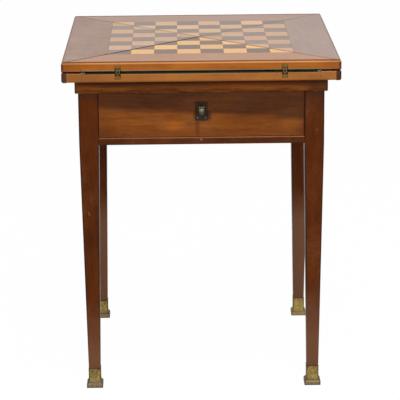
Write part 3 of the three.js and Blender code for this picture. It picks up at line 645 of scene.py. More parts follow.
def wornPolish(tree, place, shader):
    # The polish has gone from the mitres and from the arris at the edge
    lines = useGroup(tree, leafGroup, Vector=place)
    worn = math2(tree, "MAXIMUM", lines["Mitre"], lines["Band"])
    coat = shader["Coat Weight"]
    tree.links.new(remap(tree, worn, 0.0, veneerMarks["wornFull"], coat.default_value,
                         veneerMarks["wornCoat"]), coat)


woodShades = {"legWood": legShade, "railWood": railShade, "drawerWood": drawerShade,
              "mouldingWood": mouldingShade, "edgeWood": edgeShade, "bedEdge": bedShade,
              "endGrain": endShade, **{side + "Veneer": veneerShade for side in quarters}}
woodWear = {"patch": 14.0, "poreDark": 0.4, "scuff": 0.35, "rough": 0.14, "roughDrop": 0.05,
            "bump": 0.25, "bumpHeight": 0.00025, "bumpStreak": 0.3}
woodMaterials = {}


def wood(kind, run):
    # Grain of one wood, running along the axis named by run
    if (kind, run) in woodMaterials:
        return woodMaterials[kind, run]
    look = woodLooks[kind]
    material, tree, shader, place = newMaterial(
        kind + run.upper(), look["roughness"], specular=look["specular"], coat=look.get("coat", 0.0),
        coatRoughness=look.get("coatRoughness", 0.1))
    grain = grainAlong(tree, place, run)
    wear = useGroup(tree, wearGroup, Vector=place, Patch=woodWear["patch"])
    tone = plus(tree, times(tree, grain["Streak"], 1 - look["figure"]),
                times(tree, grain["Figure"], look["figure"]))
    color = blendColor(tree, tone, look["dark"], look["light"])
    # On the veneers, polish worn at the mitres, and a painted reflection laid on in the dirt's pattern
    if "sheenAndDirt" in look:
        wornPolish(tree, place, shader)
        color = tinted(tree, color, wear["Dirt"], look["sheenAndDirt"], sheenAndDirtColor)
    poreColor = tuple(woodWear["poreDark"] * c for c in look["dark"])
    color = tinted(tree, color, grain["Pores"], look["pores"], poreColor)
    color = tinted(tree, color, wear["Scuff"], woodWear["scuff"], look["scuff"])
    if kind in woodShades:
        color = woodShades[kind](tree, place, color, wear)
    rough = plus(tree, times(tree, wear["Dirt"], woodWear["rough"]),
                 look["roughness"] - woodWear["roughDrop"])
    height = math2(tree, "SUBTRACT", times(tree, grain["Streak"], woodWear["bumpStreak"]), grain["Pores"])
    linkSurface(tree, shader, color, rough, height, woodWear["bump"], woodWear["bumpHeight"])
    woodMaterials[kind, run] = material
    return material


# The greyer squares on the side and back leaves are painted reflection of the light
squareLooks = {
    "lightFront": {"low": (0.63, 0.325, 0.077), "high": (0.765, 0.438, 0.126)},
    "lightSide": {"low": (0.45, 0.24, 0.112), "high": (0.565, 0.315, 0.16)},
    "lightBack": {"low": (0.525, 0.3, 0.124), "high": (0.667, 0.407, 0.192)},
    "darkFront": {"low": (0.1, 0.041, 0.014), "high": (0.182, 0.076, 0.027)},
    "darkSide": {"low": (0.17, 0.105, 0.078), "high": (0.25, 0.16, 0.12)},
    "darkBack": {"low": (0.14, 0.086, 0.06), "high": (0.215, 0.135, 0.097)},
}
squareWear = {"streak": 0.35, "pores": 0.25, "poreDark": 0.5, "rough": 0.12, "roughBase": 0.34,
              "bump": 0.15, "bumpHeight": 0.0002}


def squareVeneer(kind, run):
    # Veneer of the chess squares, each with its own tone and stretch of grain
    look, use = squareLooks[kind], squareWear
    material, tree, shader, place = newMaterial(
        kind + run.upper(), veneerPolish["roughness"], specular=veneerPolish["specular"],
        coat=veneerPolish["coat"], coatRoughness=veneerPolish["coatRoughness"])
    cell = useGroup(tree, cellGroup, Vector=place, Size=top["square"])
    grain = grainAlong(tree, cell["Vector"], run)
    tone = plus(tree, times(tree, grain["Streak"], use["streak"]),
                times(tree, cell["Tone"], 1 - use["streak"]))
    color = blendColor(tree, tone, look["low"], look["high"])
    color = tinted(tree, color, grain["Pores"], use["pores"], tuple(use["poreDark"] * c for c in look["low"]))
    # Mitre lines of painted light and shade
    lines = useGroup(tree, leafGroup, Vector=place)
    color = blendColor(tree, lines["Mitre"], color, lines["Color"])
    wornPolish(tree, place, shader)
    wear = useGroup(tree, wearGroup, Vector=place, Patch=woodWear["patch"])
    rough = plus(tree, times(tree, wear["Dirt"], use["rough"]), use["roughBase"])
    linkSurface(tree, shader, color, rough, grain["Streak"], use["bump"], use["bumpHeight"])
    return material


metalLooks = {
    "sabotBrass": {"bright": (0.35, 0.255, 0.075), "tarnish": (0.15, 0.105, 0.04), "roughness": 0.6,
                   "patch": 190.0, "dirt": 0.9},
    "hingeBrass": {"bright": (0.3, 0.205, 0.075), "tarnish": (0.1, 0.062, 0.024), "roughness": 0.48,
                   "patch": 120.0, "dirt": 0.85},
    "pullBrass": {"bright": (0.198, 0.162, 0.118), "tarnish": (0.068, 0.053, 0.034), "roughness": 0.48,
                  "patch": 300.0, "dirt": 0.75},
    "darkBronze": {"bright": (0.03, 0.018, 0.01), "tarnish": (0.012, 0.008, 0.005), "roughness": 0.5,
                   "patch": 200.0, "dirt": 0.8},
    "screwSteel": {"bright": (0.135, 0.1, 0.09), "tarnish": (0.055, 0.037, 0.033), "roughness": 0.42,
                   "patch": 300.0, "dirt": 0.7},
    "pivotIron": {"bright": (0.2, 0.19, 0.18), "tarnish": (0.06, 0.045, 0.04), "roughness": 0.5,
                  "patch": 120.0, "dirt": 0.8},
}
sabotMarks = {
    # Painted shade on the foot and in the step; painted light on the back right sabot; painted shade on the
    # arrises
    "foot": [("Z", 0.0172, 0.0145, 0.72, (0.17, 0.128, 0.085))],
    "stepZ": 0.0118, "step": (0.0022, 0.0008), "stepShare": 0.6, "stepShadeColor": (0.06, 0.04, 0.02),
    "sole": [("Z", 0.0028, 0.0012, 1.0, (0.05, 0.043, 0.02))],
    "brown": (0.026, 0.04), "brownShare": 0.75, "brownColor": (0.14, 0.075, 0.042),
    "rim": [("Z", 0.0415, 0.0432, 0.7, (0.045, 0.025, 0.014))],
    "backRightLitShare": 0.3, "backRightLitColor": (0.47, 0.34, 0.107),
    "arrisShare": 0.85, "arrisColor": (0.03, 0.024, 0.014),
}


def sabotShade(tree, place, color, wear):
    # Painted shade in the arrises and over the hollow foot and step, darker along the sole, brown under
    # the dark upper edge, and painted light on the back right one
    marks = sabotMarks
    split = axes(tree, place)
    color = layered(tree, split, color, marks["foot"])
    step = beyond(tree, plus(tree, split["Z"], -marks["stepZ"]), *marks["step"])
    color = tinted(tree, color, step, marks["stepShare"], marks["stepShadeColor"])
    color = layered(tree, split, color, marks["sole"])
    brown = times(tree, remap(tree, split["Z"], *marks["brown"]), wear["Dirt"])
    color = tinted(tree, color, brown, marks["brownShare"], marks["brownColor"])
    color = layered(tree, split, color, marks["rim"])
    backRight = times(tree, positive(tree, split["Y"]), positive(tree, split["X"]))
    color = tinted(tree, color, backRight, marks["backRightLitShare"], marks["backRightLitColor"])
    edge = addNode(tree, "Attribute", {"attribute_name": "edge"}).outputs["Fac"]
    return tinted(tree, color, edge, marks["arrisShare"], marks["arrisColor"])


pullMarks = {
    "plate": [("Z", 0.622, 0.615, 0.5, (0.026, 0.026, 0.024)),
              ("Y", -0.2652, -0.2662, 0.8, (0.115, 0.1, 0.078))],
    "drop": [("Z", 0.6268, 0.6246, 0.8, (0.05, 0.039, 0.02)), ("Z", 0.6325, 0.634, 0.5, (0.08, 0.07, 0.055))],
}


def plateShade(tree, place, color, wear):
    # Greyish where it is rubbed near the lower end, and bright on the two ears
    return layered(tree, axes(tree, place), color, pullMarks["plate"])


def dropShade(tree, place, color, wear):
    # Painted shade over its lower lobe, and darker at its neck
    return layered(tree, axes(tree, place), color, pullMarks["drop"])


# Heights on a hinge's nose and the colour there, from its lower end up over the link: painted light
# and shade of the rounded noses and the link
noseShading = [(0.7055, (0.115, 0.055, 0.016)), (0.7100, (0.12, 0.06, 0.02)),
             (0.7112, (0.04, 0.021, 0.005)), (0.7126, (0.05, 0.028, 0.007)),
             (0.7140, (0.085, 0.06, 0.026)), (0.7175, (0.08, 0.056, 0.024)),
             (0.7195, (0.066, 0.045, 0.019)), (0.7212, (0.15, 0.098, 0.056)),
             (0.7232, (0.14, 0.09, 0.05)), (0.7245, (0.085, 0.045, 0.018)),
             (0.7258, (0.05, 0.025, 0.006)), (0.7272, (0.055, 0.028, 0.006)),
             (0.7284, (0.135, 0.078, 0.021)), (0.7315, (0.14, 0.072, 0.016))]
noseMarks = {"nose": (0.2862, 0.2868), "noseShadingShare": 0.85, "outline": (0.0048, 0.0058),
             "outlineShadeShare": 0.5, "outlineShadeColor": (0.018, 0.011, 0.006)}


def hingeShade(tree, place, color, wear):
    # Bands of painted light and shade across the noses at the edge of the table, and painted shade down
    # both sides of them
    marks = noseMarks
    split = axes(tree, place)
    sizes = [absolute(tree, split[axis]) for axis in ("X", "Y")]
    nose = remap(tree, math2(tree, "MAXIMUM", *sizes), *marks["nose"])
    low, high = noseShading[0][0], noseShading[-1][0]
    ramp = addNode(tree, "ValToRGB", None, i0=remap(tree, split["Z"], low, high))
    stops = ramp.color_ramp.elements
    for index, (height, tone) in enumerate(noseShading):
        stop = stops[index] if index < 2 else stops.new(1)
        stop.position = (height - low) / (high - low)
        stop.color = (*tone, 1)
    color = tinted(tree, color, nose, marks["noseShadingShare"], ramp.outputs[0])
    off = [absolute(tree, math2(tree, "SUBTRACT", size, top["hingePlace"])) for size in sizes]
    outline = remap(tree, math2(tree, "MINIMUM", *off), *marks["outline"])
    return tinted(tree, color, times(tree, outline, nose), marks["outlineShadeShare"], marks["outlineShadeColor"])


metalShades = {"sabotBrass": sabotShade, "darkBronze": plateShade, "hingeBrass": hingeShade,
               "pullBrass": dropShade}
metalWear = {"rough": 0.25, "roughDrop": 0.08, "bump": 0.3, "bumpHeight": 0.0003}


def metal(kind):
    # Bright metal, tarnished where the dirt lies
    look = metalLooks[kind]
    material, tree, shader, place = newMaterial(kind, look["roughness"], metallic=1.0)
    wear = useGroup(tree, wearGroup, Vector=place, Patch=look["patch"])
    color = blendColor(tree, times(tree, wear["Dirt"], look["dirt"]), look["bright"], look["tarnish"])
    if kind in metalShades:
        color = metalShades[kind](tree, place, color, wear)
    rough = plus(tree, times(tree, wear["Dirt"], metalWear["rough"]),
                 look["roughness"] - metalWear["roughDrop"])
    linkSurface(tree, shader, color, rough, wear["Scuff"], metalWear["bump"], metalWear["bumpHeight"])
    return material


metals = {kind: metal(kind) for kind in metalLooks}
baizeLook = {"deep": (0.021, 0.027, 0.007), "face": (0.048, 0.06, 0.018), "fray": (0.5, 0.5, 0.4),
             "rawEdge": (0.1, 0.108, 0.06), "rawFrom": (0.2934, 0.294), "leafFrom": (0.7195, 0.7205),
             "nap": (900.0, 4.0, 0.7), "weaveScale": 1400 / 6, "napTone": 0.6, "dirtTone": 0.4,
             "patch": 20.0, "weaveBump": 0.4, "bump": 0.5, "bumpHeight": 0.0004,
             "roughness": 0.95, "sheen": 0.03, "frayScale": 300.0, "frayDetail": 2.0,
             "frayRoughness": 0.9, "fraySpecular": 0.1, "fraySheen": 0.2}


def baize(look):
    # Fulled wool cloth: crossed fine threads under a fuzzy nap, greyer at the leaves' raw edges
    material, tree, shader, place = newMaterial("baize", look["roughness"], specular=0.0,
                                                sheen=look["sheen"])
    wear = useGroup(tree, wearGroup, Vector=place, Patch=look["patch"])
    scale, detail, roughness = look["nap"]
    nap = addNode(tree, "TexNoise", None, Vector=place, Scale=scale, Detail=detail,
                  Roughness=roughness).outputs[0]
    warp, weft = (addNode(tree, "TexWave", {"bands_direction": axis}, Vector=place,
                          Scale=look["weaveScale"]).outputs["Fac"] for axis in ("X", "Y"))
    tone = plus(tree, times(tree, nap, look["napTone"]), times(tree, wear["Dirt"], look["dirtTone"]),
                clamp=True)
    color = blendColor(tree, tone, look["deep"], look["face"])
    split = axes(tree, place)
    far = math2(tree, "MAXIMUM", absolute(tree, split["X"]), absolute(tree, split["Y"]))
    color = tinted(tree, color, remap(tree, far, *look["rawFrom"]),
                   remap(tree, split["Z"], *look["leafFrom"]), look["rawEdge"])
    height = plus(tree, nap, times(tree, times(tree, warp, weft), look["weaveBump"]))
    linkSurface(tree, shader, color, None, height, look["bump"], look["bumpHeight"])
    return material


def frayedThread(look):
    # The cloth's green, bleached in places
    material, tree, shader, place = newMaterial("frayedThread", look["frayRoughness"],
                                                specular=look["fraySpecular"], sheen=look["fraySheen"])
    tint = addNode(tree, "TexNoise", None, Vector=place, Scale=look["frayScale"],
                   Detail=look["frayDetail"])
    tree.links.new(blendColor(tree, tint.outputs[0], look["face"], look["fray"]), shader["Base Color"])
    return material


baizeMaterial = baize(baizeLook)
frayMaterial = frayedThread(baizeLook)
print("materials made")

# Shapes are a pair of points and faces; arcPoints is how many points round a small arris, and
# arcMiddle the share of its radius that the middle of an arris of three points stands in;
# leastRadius keeps a ring's corner points apart, and onAxis is where a normal is along an axis
arcPoints, arcMiddle, leastRadius, onAxis = 4, 0.3, 1e-6, 0.99999


def signedVolume(points, faces):
    # Sum over fan triangles of a.(b x c) / 6, positive when the faces look outwards
    fans = np.array([(face[0], face[step], face[step + 1])
                     for face in faces for step in range(1, len(face) - 1)])
    a, b, c = points[fans[:, 0]], points[fans[:, 1]], points[fans[:, 2]]
    return float(np.einsum("ij,ij->i", a, np.cross(b, c)).sum() / 6)


def outward(points, faces):
    # Every face turned round where the volume comes out negative
    return faces if signedVolume(points, faces) > 0 else [face[::-1] for face in faces]


def tube(rings):
    # Rings of points joined in their order, with a flat cap on the first and the last
    count, size = rings.shape[:2]
    index = np.arange(count * size).reshape(count, size)
    after = np.roll(index, -1, axis=1)
    quads = np.stack([index[:-1], after[:-1], after[1:], index[1:]], axis=-1).reshape(-1, 4)
    faces = quads.tolist() + [index[0][::-1].tolist(), index[-1].tolist()]
    points = rings.reshape(-1, 3)
    return points, outward(points, faces)


def carried(section, axis, ends):
    # A flat section carried straight along one axis; its two columns are the other axes in order
    section = np.array(section, float)
    return tube(np.stack([np.insert(section, axis, end, axis=1) for end in ends]))


def rectangle(low, high):
    # Its four corners in order
    return [[low[0], low[1]], [high[0], low[1]], [high[0], high[1]], [low[0], high[1]]]


def box(low, high):
    # The rectangle in x and y carried from the lower z to the upper one
    low, high = np.minimum(low, high), np.maximum(low, high)
    return carried(rectangle(low, high), 2, (low[2], high[2]))


def prism(outline, z0, z1):
    # An outline in x and y carried from z0 to z1
    return carried(outline, 2, (z0, z1))


def stamp(shapes):
    # Several shapes put into one mesh
    points = np.concatenate([p for p, _ in shapes])
    faces, start = [], 0
    for shapePoints, shapeFaces in shapes:
        faces += [[i + start for i in face] for face in shapeFaces]
        start += len(shapePoints)
    return points, faces


def easing(radius, count):
    # A quarter circle over an arris: its distances in from the two faces, r(1 - sin t), r(1 - cos t)
    turn = np.linspace(0, np.pi / 2, count)
    return radius * (1 - np.sin(turn)), radius * (1 - np.cos(turn))


def roundedRing(halfA, halfB, radius):
    # Rounded rectangle: each corner's centre plus a quarter circle of its radius
    angles = np.linspace(0, np.pi / 2, arcPoints)
    corners = []
    for quarter, (signA, signB) in enumerate(((1, 1), (-1, 1), (-1, -1), (1, -1))):
        turn = angles + quarter * np.pi / 2
        corners.append(np.stack([signA * (halfA - radius) + radius * np.cos(turn),
                                 signB * (halfB - radius) + radius * np.sin(turn)], axis=1))
    return np.concatenate(corners)


def framedRing(half, radius, margin):
    # Rounded square with two more points on each side, margin in from its corners
    arcs = roundedRing(half, half, radius).reshape(4, arcPoints, 2)
    ends = half - margin
    flats = np.array([[[ends, half], [-ends, half]], [[-half, ends], [-half, -ends]],
                      [[-ends, -half], [ends, -half]], [[half, -ends], [half, ends]]])
    return np.concatenate([arcs, flats], axis=1).reshape(-1, 2)


def board(low, high, radius, run):
    # Rounded section carried along the run; at both ends it draws in by r - sqrt(r^2 - (r - s)^2)
    low, high = np.minimum(low, high), np.maximum(low, high)
    axis = "xyz".index(run)
    across, up = (axis + 1) % 3, (axis + 2) % 3
    middle, half = (low + high) / 2, (high - low) / 2
    insets, steps = easing(radius, arcPoints)
    stations = np.concatenate([-half[axis] + steps, (half[axis] - steps)[::-1]])
    rings = np.zeros((len(stations), 4 * arcPoints, 3))
    for i, (station, inset) in enumerate(zip(stations, np.concatenate([insets, insets[::-1]]))):
        ring = roundedRing(half[across] - inset, half[up] - inset, max(radius - inset, leastRadius))
        rings[i, :, across] = middle[across] + ring[:, 0]
        rings[i, :, up] = middle[up] + ring[:, 1]
        rings[i, :, axis] = middle[axis] + station
    return tube(rings)


def lathe(profile, sides=24):
    # (radius, height) points turned round Z
    turn = np.linspace(0, 2 * np.pi, sides, endpoint=False)
    profile = np.array(profile, float)
    rings = np.stack([profile[:, :1] * np.cos(turn), profile[:, :1] * np.sin(turn),
                      np.repeat(profile[:, 1:], sides, axis=1)], axis=-1)
    return tube(rings)


def turnedQuarter(points, quarter):
    # Points turned about the table's centre by quarter turns
    c, s = round(math.cos(quarter * math.pi / 2)), round(math.sin(quarter * math.pi / 2))
    x, y = points[:, 0], points[:, 1]
    return np.stack([c * x - s * y, s * x + c * y, points[:, 2]], axis=1)


def turned(shape, quarter):
    # The whole shape turned in that way
    return turnedQuarter(shape[0], quarter), shape[1]


def moved(shape, x, y):
    # The shape shifted along x and y
    return shape[0] + np.array([x, y, 0]), shape[1]


# Meshes and objects
def faceVectors(mesh, field):
    values = np.zeros(len(mesh.polygons) * 3)
    mesh.polygons.foreach_get(field, values)
    return values.reshape(-1, 3)


def facesAlike(obj, pick, index):
    # Gives material index to each face that pick chooses by its normals and centres
    mesh = obj.data
    slots = np.zeros(len(mesh.polygons), int)
    mesh.polygons.foreach_get("material_index", slots)
    slots[pick(faceVectors(mesh, "normal"), faceVectors(mesh, "center"))] = index
    mesh.polygons.foreach_set("material_index", slots)


def softShading(mesh, angle=40):
    # Flat faces that look straight along an axis stay flat, the rest shade smoothly
    mesh.shade_smooth()
    mesh.set_sharp_from_angle(angle=math.radians(angle))
    flat = np.abs(faceVectors(mesh, "normal")).max(axis=1) > onAxis
    mesh.polygons.foreach_set("use_smooth", ~flat)


def rawObject(name, shape):
    # A shape made an object, its points rounded to eight decimals
    points, faces = shape
    mesh = bpy.data.meshes.new(name)
    mesh.from_pydata(np.round(points, 8).tolist(), [], faces)
    return linked(name, mesh)


def finishPiece(obj, materials, body, replaced=()):
    # Materials, the body it rides on and the nodes that it stands for
    obj.data.materials.clear()
    for material in materials if isinstance(materials, (list, tuple)) else [materials]:
        obj.data.materials.append(material)
    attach(obj, body)
    if replaced:
        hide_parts(*replaced)
    return obj


def piece(name, shape, materials, body, replaced=(), angle=40):
    # A shape made an object, shaded and finished
    obj = rawObject(name, shape)
    obj.data.validate()
    softShading(obj.data, angle)
    return finishPiece(obj, materials, body, replaced)


def applied(obj):
    # The mesh with its modifiers worked in
    bpy.context.view_layer.update()
    graph = bpy.context.evaluated_depsgraph_get()
    mesh = bpy.data.meshes.new_from_object(obj.evaluated_get(graph))
    obj.modifiers.clear()
    obj.data = mesh
    return mesh


def cutBy(obj, shape):
    # Takes a shape out of the object's mesh
    tool = rawObject(obj.name + "Cutter", shape)
    cut = obj.modifiers.new("cut", "BOOLEAN")
    cut.operation = "DIFFERENCE"
    cut.solver = "EXACT"
    cut.object = tool
    mesh = applied(obj)
    bpy.data.objects.remove(tool)
    return mesh


def carved(name, shape, cutters):
    # A shape with each cutter taken out in turn
    obj = rawObject(name, shape)
    for cutter in cutters:
        cutBy(obj, cutter)
    softShading(obj.data)
    return obj


# How far apart points are merged, and in degrees, what is flat and what is an arris
softLimits = {"merge": 0.00001, "flat": 0.5, "arris": 40, "shading": 30}


def softCopy(node, material, bevel, choose=None, segments=2):
    # A merged copy of a CAD node with its arrises eased by a bevel
    flat, arris = math.radians(softLimits["flat"]), math.radians(softLimits["arris"])
    source = nodes[node]
    mesh = source.data.copy()
    mesh.name = node + "_soft"
    edit = bmesh.new()
    edit.from_mesh(mesh)
    bmesh.ops.remove_doubles(edit, verts=edit.verts, dist=softLimits["merge"])
    bmesh.ops.dissolve_limit(edit, angle_limit=flat, verts=edit.verts, edges=edit.edges)
    bmesh.ops.recalc_face_normals(edit, faces=edit.faces)
    weights = edit.edges.layers.float.new("bevel_weight_edge")
    for edge in edit.edges:
        sharp = len(edge.link_faces) == 2 and edge.calc_face_angle(0) > arris
        if sharp and (choose is None or choose(edge)):
            edge[weights] = 1
    edit.to_mesh(mesh)
    edit.free()
    obj = linked(mesh.name, mesh)
    ease = obj.modifiers.new("ease", "BEVEL")
    ease.limit_method = "WEIGHT"
    ease.width = bevel
    ease.segments = segments
    ease.use_clamp_overlap = True
    applied(obj)
    softShading(obj.data, softLimits["shading"])
    return finishPiece(obj, material, source["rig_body"], [node])


def makePosts(part, ending, widths, heights, size, material, angle=40):
    # Framed rings stacked on each of the four legs' lines; attribute edge is 1 on their corner arcs
    centre = carcase["half"] - carcase["legWidth"] / 2
    onEdge = np.tile([1.0] * arcPoints + [0.0, 0.0], 4 * len(heights))
    for front, wayY in (("front", -1), ("back", 1)):
        for side, wayX in sides.items():
            middle = [wayX * centre, wayY * centre]
            rings = [np.insert(framedRing(width, size["arris"], size["margin"]) + middle, 2, z, axis=1)
                     for width, z in zip(widths, heights)]
            node = f"{part}_{front}_{side}"
            obj = piece(f"{node}_{ending}", tube(np.stack(rings)), material, "frame", [node], angle)
            obj.data.attributes.new("edge", "FLOAT", "POINT").data.foreach_set("value", onEdge)


# Legs
leg = {"footHalf": 0.01285, "tenonHalf": 0.011, "footZ": 0.0443, "tenonZ": 0.0103, "arris": 0.0018,
       "taperFrom": 0.02, "taperBend": 0.012, "taperSteps": 12, "margin": 0.0036}


def makeLegs(size):
    # Half width: full down to the apron's bottom, then in a straight line to the foot
    half, bend, foot = carcase["legWidth"] / 2, carcase["apronBottom"], size["footZ"]
    eased, rise = easing(size["arris"], arcPoints)
    z = np.concatenate([
        [size["tenonZ"], foot], foot + rise,
        np.linspace(foot + size["taperFrom"], bend - size["taperBend"], size["taperSteps"]),
        bend + size["taperBend"] * np.array([-0.5, 0, 0.5]), [carcase["bottomZ"] - carcase["joint"]]])
    ramp = np.clip((z - foot) / (bend - foot), 0, 1)
    widths = size["footHalf"] + (half - size["footHalf"]) * ramp
    widths[:2] = size["tenonHalf"]
    widths[2:2 + arcPoints] -= eased
    makePosts("leg", "shaped", widths, z, size, wood("legWood", "z"))


makeLegs(leg)

# Sabots; the eases are those of the sole, the plinth, the step, the rim and its lip
sabot = {"base": 0.0178, "step": 0.0165, "neck": 0.0134, "rim": 0.01355, "socket": 0.0113,
         "plinthZ": 0.009, "flareZ": 0.0165, "rimZ": 0.0395, "topZ": 0.044, "floorZ": 0.010,
         "arris": 0.0009, "margin": 0.0028, "eases": (0.0006, 0.0004, 0.0003, 0.001, 0.0002),
         "flareSteps": 8, "neckShare": 0.8}


def makeSabots(size):
    # (half width, height) up the outside, over the rim and down the socket; between step and neck
    # the path is hollow, a quarter of an ellipse
    base, step, neck, rim, socket = (size[key] for key in ("base", "step", "neck", "rim", "socket"))
    plinthZ, rimZ, topZ = size["plinthZ"], size["rimZ"], size["topZ"]
    sole, plinth, ledge, bead, lip = size["eases"]
    turn = np.linspace(0, np.pi / 2, size["flareSteps"])
    stepZ = plinthZ + base - step
    flare = np.column_stack([step - (step - neck) * np.sin(turn),
                             stepZ + (size["flareZ"] - stepZ) * (1 - np.cos(turn))])
    path = np.concatenate([
        [[base - sole, 0], [base, sole], [base, plinthZ - plinth], [base - ledge, plinthZ],
         [step + ledge, stepZ - ledge]], flare,
        [[neck, rimZ - size["neckShare"] * bead], [rim - lip, rimZ], [rim, rimZ + bead], [rim, topZ - bead],
         [rim - sole, topZ - lip], [rim - bead, topZ], [socket + lip, topZ], [socket, topZ - plinth],
         [socket, size["floorZ"]]]])
    makePosts("sabot", "cast", path[:, 0], path[:, 1], size, metals["sabotBrass"], angle=50)


makeSabots(sabot)
print("legs and sabots made")

# Aprons, drawer runners and guides, and the drawer rail with its stops
apron = {"outer": 0.262, "thick": 0.020, "arris": 0.0012, "runnerIn": 0.190, "guideIn": 0.22025,
         "guideHeight": 0.020, "railRound": 0.003, "railLowRound": 0.0008, "stopPlace": 0.120,
         "stopWidth": 0.030, "stopFront": 0.0202, "stopDepth": 0.014, "stopHeight": 0.0035,
         "stopLet": 0.004, "stopArris": 0.0006, "block": 0.016, "blockLength": 0.055,
         "blockPlaces": (-0.12, 0.03, 0.18), "railSteps": 7}
frameEnd = carcase["legInner"] - carcase["joint"]
frameTop = carcase["bottomZ"] - carcase["joint"]


def makeAprons(size):
    # Rounded boards between the legs: apron, runner and guide on each side, and the back apron
    z0, z1 = carcase["apronBottom"], carcase["railTop"]
    face = size["outer"] - size["thick"]
    inner = face - carcase["joint"]
    for side, way in sides.items():
        for name, outer, depth, low, high, kind, slot, replaced in (
                (f"apron_{side}_board", size["outer"], face, z0, frameTop, "legWood", "mahogany",
                 [f"apron_{side}"]),
                (f"runner_{side}", inner, size["runnerIn"], z0, z1, "rawPine", "drawer_pine", ()),
                (f"guide_{side}", inner, size["guideIn"], z1 + carcase["joint"],
                 z1 + size["guideHeight"], "rawPine", "drawer_pine", ())):
            shape = board((way * outer, -frameEnd, low), (way * depth, frameEnd, high), size["arris"], "y")
            piece(name, shape, wood(kind, "y"), "frame", replaced)
    shape = board((-frameEnd, face, z0), (frameEnd, size["outer"], frameTop), size["arris"], "x")
    piece("apron_back_board", shape, wood("legWood", "x"), "frame", ["apron_back"])


def makeRail(size):
    # Rail section with its top front arris rounded, and two stops behind the drawer front
    front, back = -size["outer"], -carcase["legInner"]
    z0, z1 = carcase["apronBottom"], carcase["railTop"]
    turn = np.linspace(np.pi / 2, np.pi, size["railSteps"])
    r, small = size["railRound"], size["railLowRound"]
    section = np.concatenate([
        np.column_stack([front + r + r * np.cos(turn), z1 - r + r * np.sin(turn)]),
        [[front, z0 + small], [front + small * arcMiddle, z0 + small * arcMiddle], [front + small, z0],
         [back, z0], [back, z1]]])
    rail = piece("drawer_rail_shaped", carried(section, 0, (-frameEnd, frameEnd)),
                 [wood("railWood", "x"), wood("highlitEdge", "x")], "frame", ["drawer_rail"])
    facesAlike(rail, lambda n, c: (n[:, 1] < -0.1) & (n[:, 2] > 0.3), 1)  # the rounded arris takes a painted highlight
    stopFront = front + size["stopFront"]
    for side, way in sides.items():
        x, half = way * size["stopPlace"], size["stopWidth"] / 2
        shape = board((x - half, stopFront, z1 - size["stopLet"]),
                      (x + half, stopFront + size["stopDepth"], z1 + size["stopHeight"]),
                      size["stopArris"], "x")
        piece(f"drawer_stop_{side}", shape, wood("rawPine", "x"), "frame")


def makeGlueBlocks(size):
    # Three-cornered blocks in the angle between the side aprons and the top frame
    shapes = []
    z1, leg, half = frameTop, size["block"], size["blockLength"] / 2
    for way in (-1, 1):
        x = way * (size["outer"] - size["thick"] - carcase["joint"])
        for y in size["blockPlaces"]:
            shapes.append(carried([[x, z1], [x - way * leg, z1], [x, z1 - leg]], 1, (y - half, y + half)))
    piece("glue_blocks", stamp(shapes), wood("rawPine", "y"), "frame")


makeAprons(apron)
makeRail(apron)
makeGlueBlocks(apron)
print("aprons, rail and runners made")

# Edge strips: the side ones run through and show their end grain, front and back lie between
strips = {
    "bed": {"half": top["half"], "thick": 0.0105, "z0": top["bedBottom"], "z1": top["bedTop"],
            "low": 0.0045, "top": 0.0015, "steps": 7, "gap": 0.00008, "sunk": 0.7148, "diamond": 0.5476},
    "frame": {"half": 0.269, "thick": 0.005, "z0": carcase["bottomZ"], "z1": carcase["topZ"],
              "low": 0.003, "top": 0.001, "steps": 7, "gap": 0.00008},
}
# Rooms for a hinge arm, its nose and then its plate: outer and inner end, and how far it is sunk
hingePlaces = (-top["hingePlace"], top["hingePlace"])
hingeRooms = ((0.297, 0.2857, 0.0133), (0.2902, 0.2527, 0.0043))


def edgeStrip(size, length):
    # Section with rounded outer arrises, outer face at -half on Y, carried along X
    outer, inner = -size["half"], -size["half"] + size["thick"]
    back, near = easing(size["low"], size["steps"])
    lower = np.column_stack([outer + near, size["z0"] + back])
    back, near = easing(size["top"], size["steps"])
    upper = np.column_stack([outer + back, size["z1"] - near])
    section = np.concatenate([[[inner, size["z1"]]], upper, lower, [[inner, size["z0"]]]])
    return carried(section, 0, (-length / 2, length / 2))


def hingePockets(level, way, quarter):
    # Room for the two hinge arms on one edge, sunk from a level up or down
    return [turned(box((x - top["hingeHalf"], -outer, level - way * top["over"]),
                       (x + top["hingeHalf"], -inner, level + way * sunk)), quarter)
            for x in hingePlaces for outer, inner, sunk in hingeRooms]


def diamondOutline(limit, edge):
    # Square of half size edge less the corners where |x| + |y| is over the limit
    short = limit - edge
    return [[short, -edge], [edge, -short], [edge, short], [short, edge],
            [-short, edge], [-edge, short], [-edge, -short], [-short, -edge]]


def makeStrips(owner, size, kind, replaced):
    # The strip's section turned to each side; on the bed, cut for the cloth and the hinges
    for place, quarter in quarters.items():
        through = place in ("left", "right")
        length = 2 * size["half"] - (0 if through else 2 * (size["thick"] + size["gap"]))
        cutters = []
        if "sunk" in size:
            outline = diamondOutline(size["diamond"], size["half"] + top["over"])
            cutters = [prism(outline, size["sunk"], top["leafBottom"])]
            cutters += hingePockets(size["z1"], -1, quarter)
        obj = carved(f"{owner}_strip_{place}", turned(edgeStrip(size, length), quarter), cutters)
        run = "y" if through else "x"
        finishPiece(obj, [wood(kind, run), wood("endGrain", run)], owner,
                    replaced if place == "front" else ())
        if through:
            facesAlike(obj, lambda n, c: np.abs(n[:, 1]) > 0.99, 1)  # end grain


makeStrips("bed", strips["bed"], "bedEdge", ["bed_lipping"])
makeStrips("frame", strips["frame"], "mouldingWood", [])

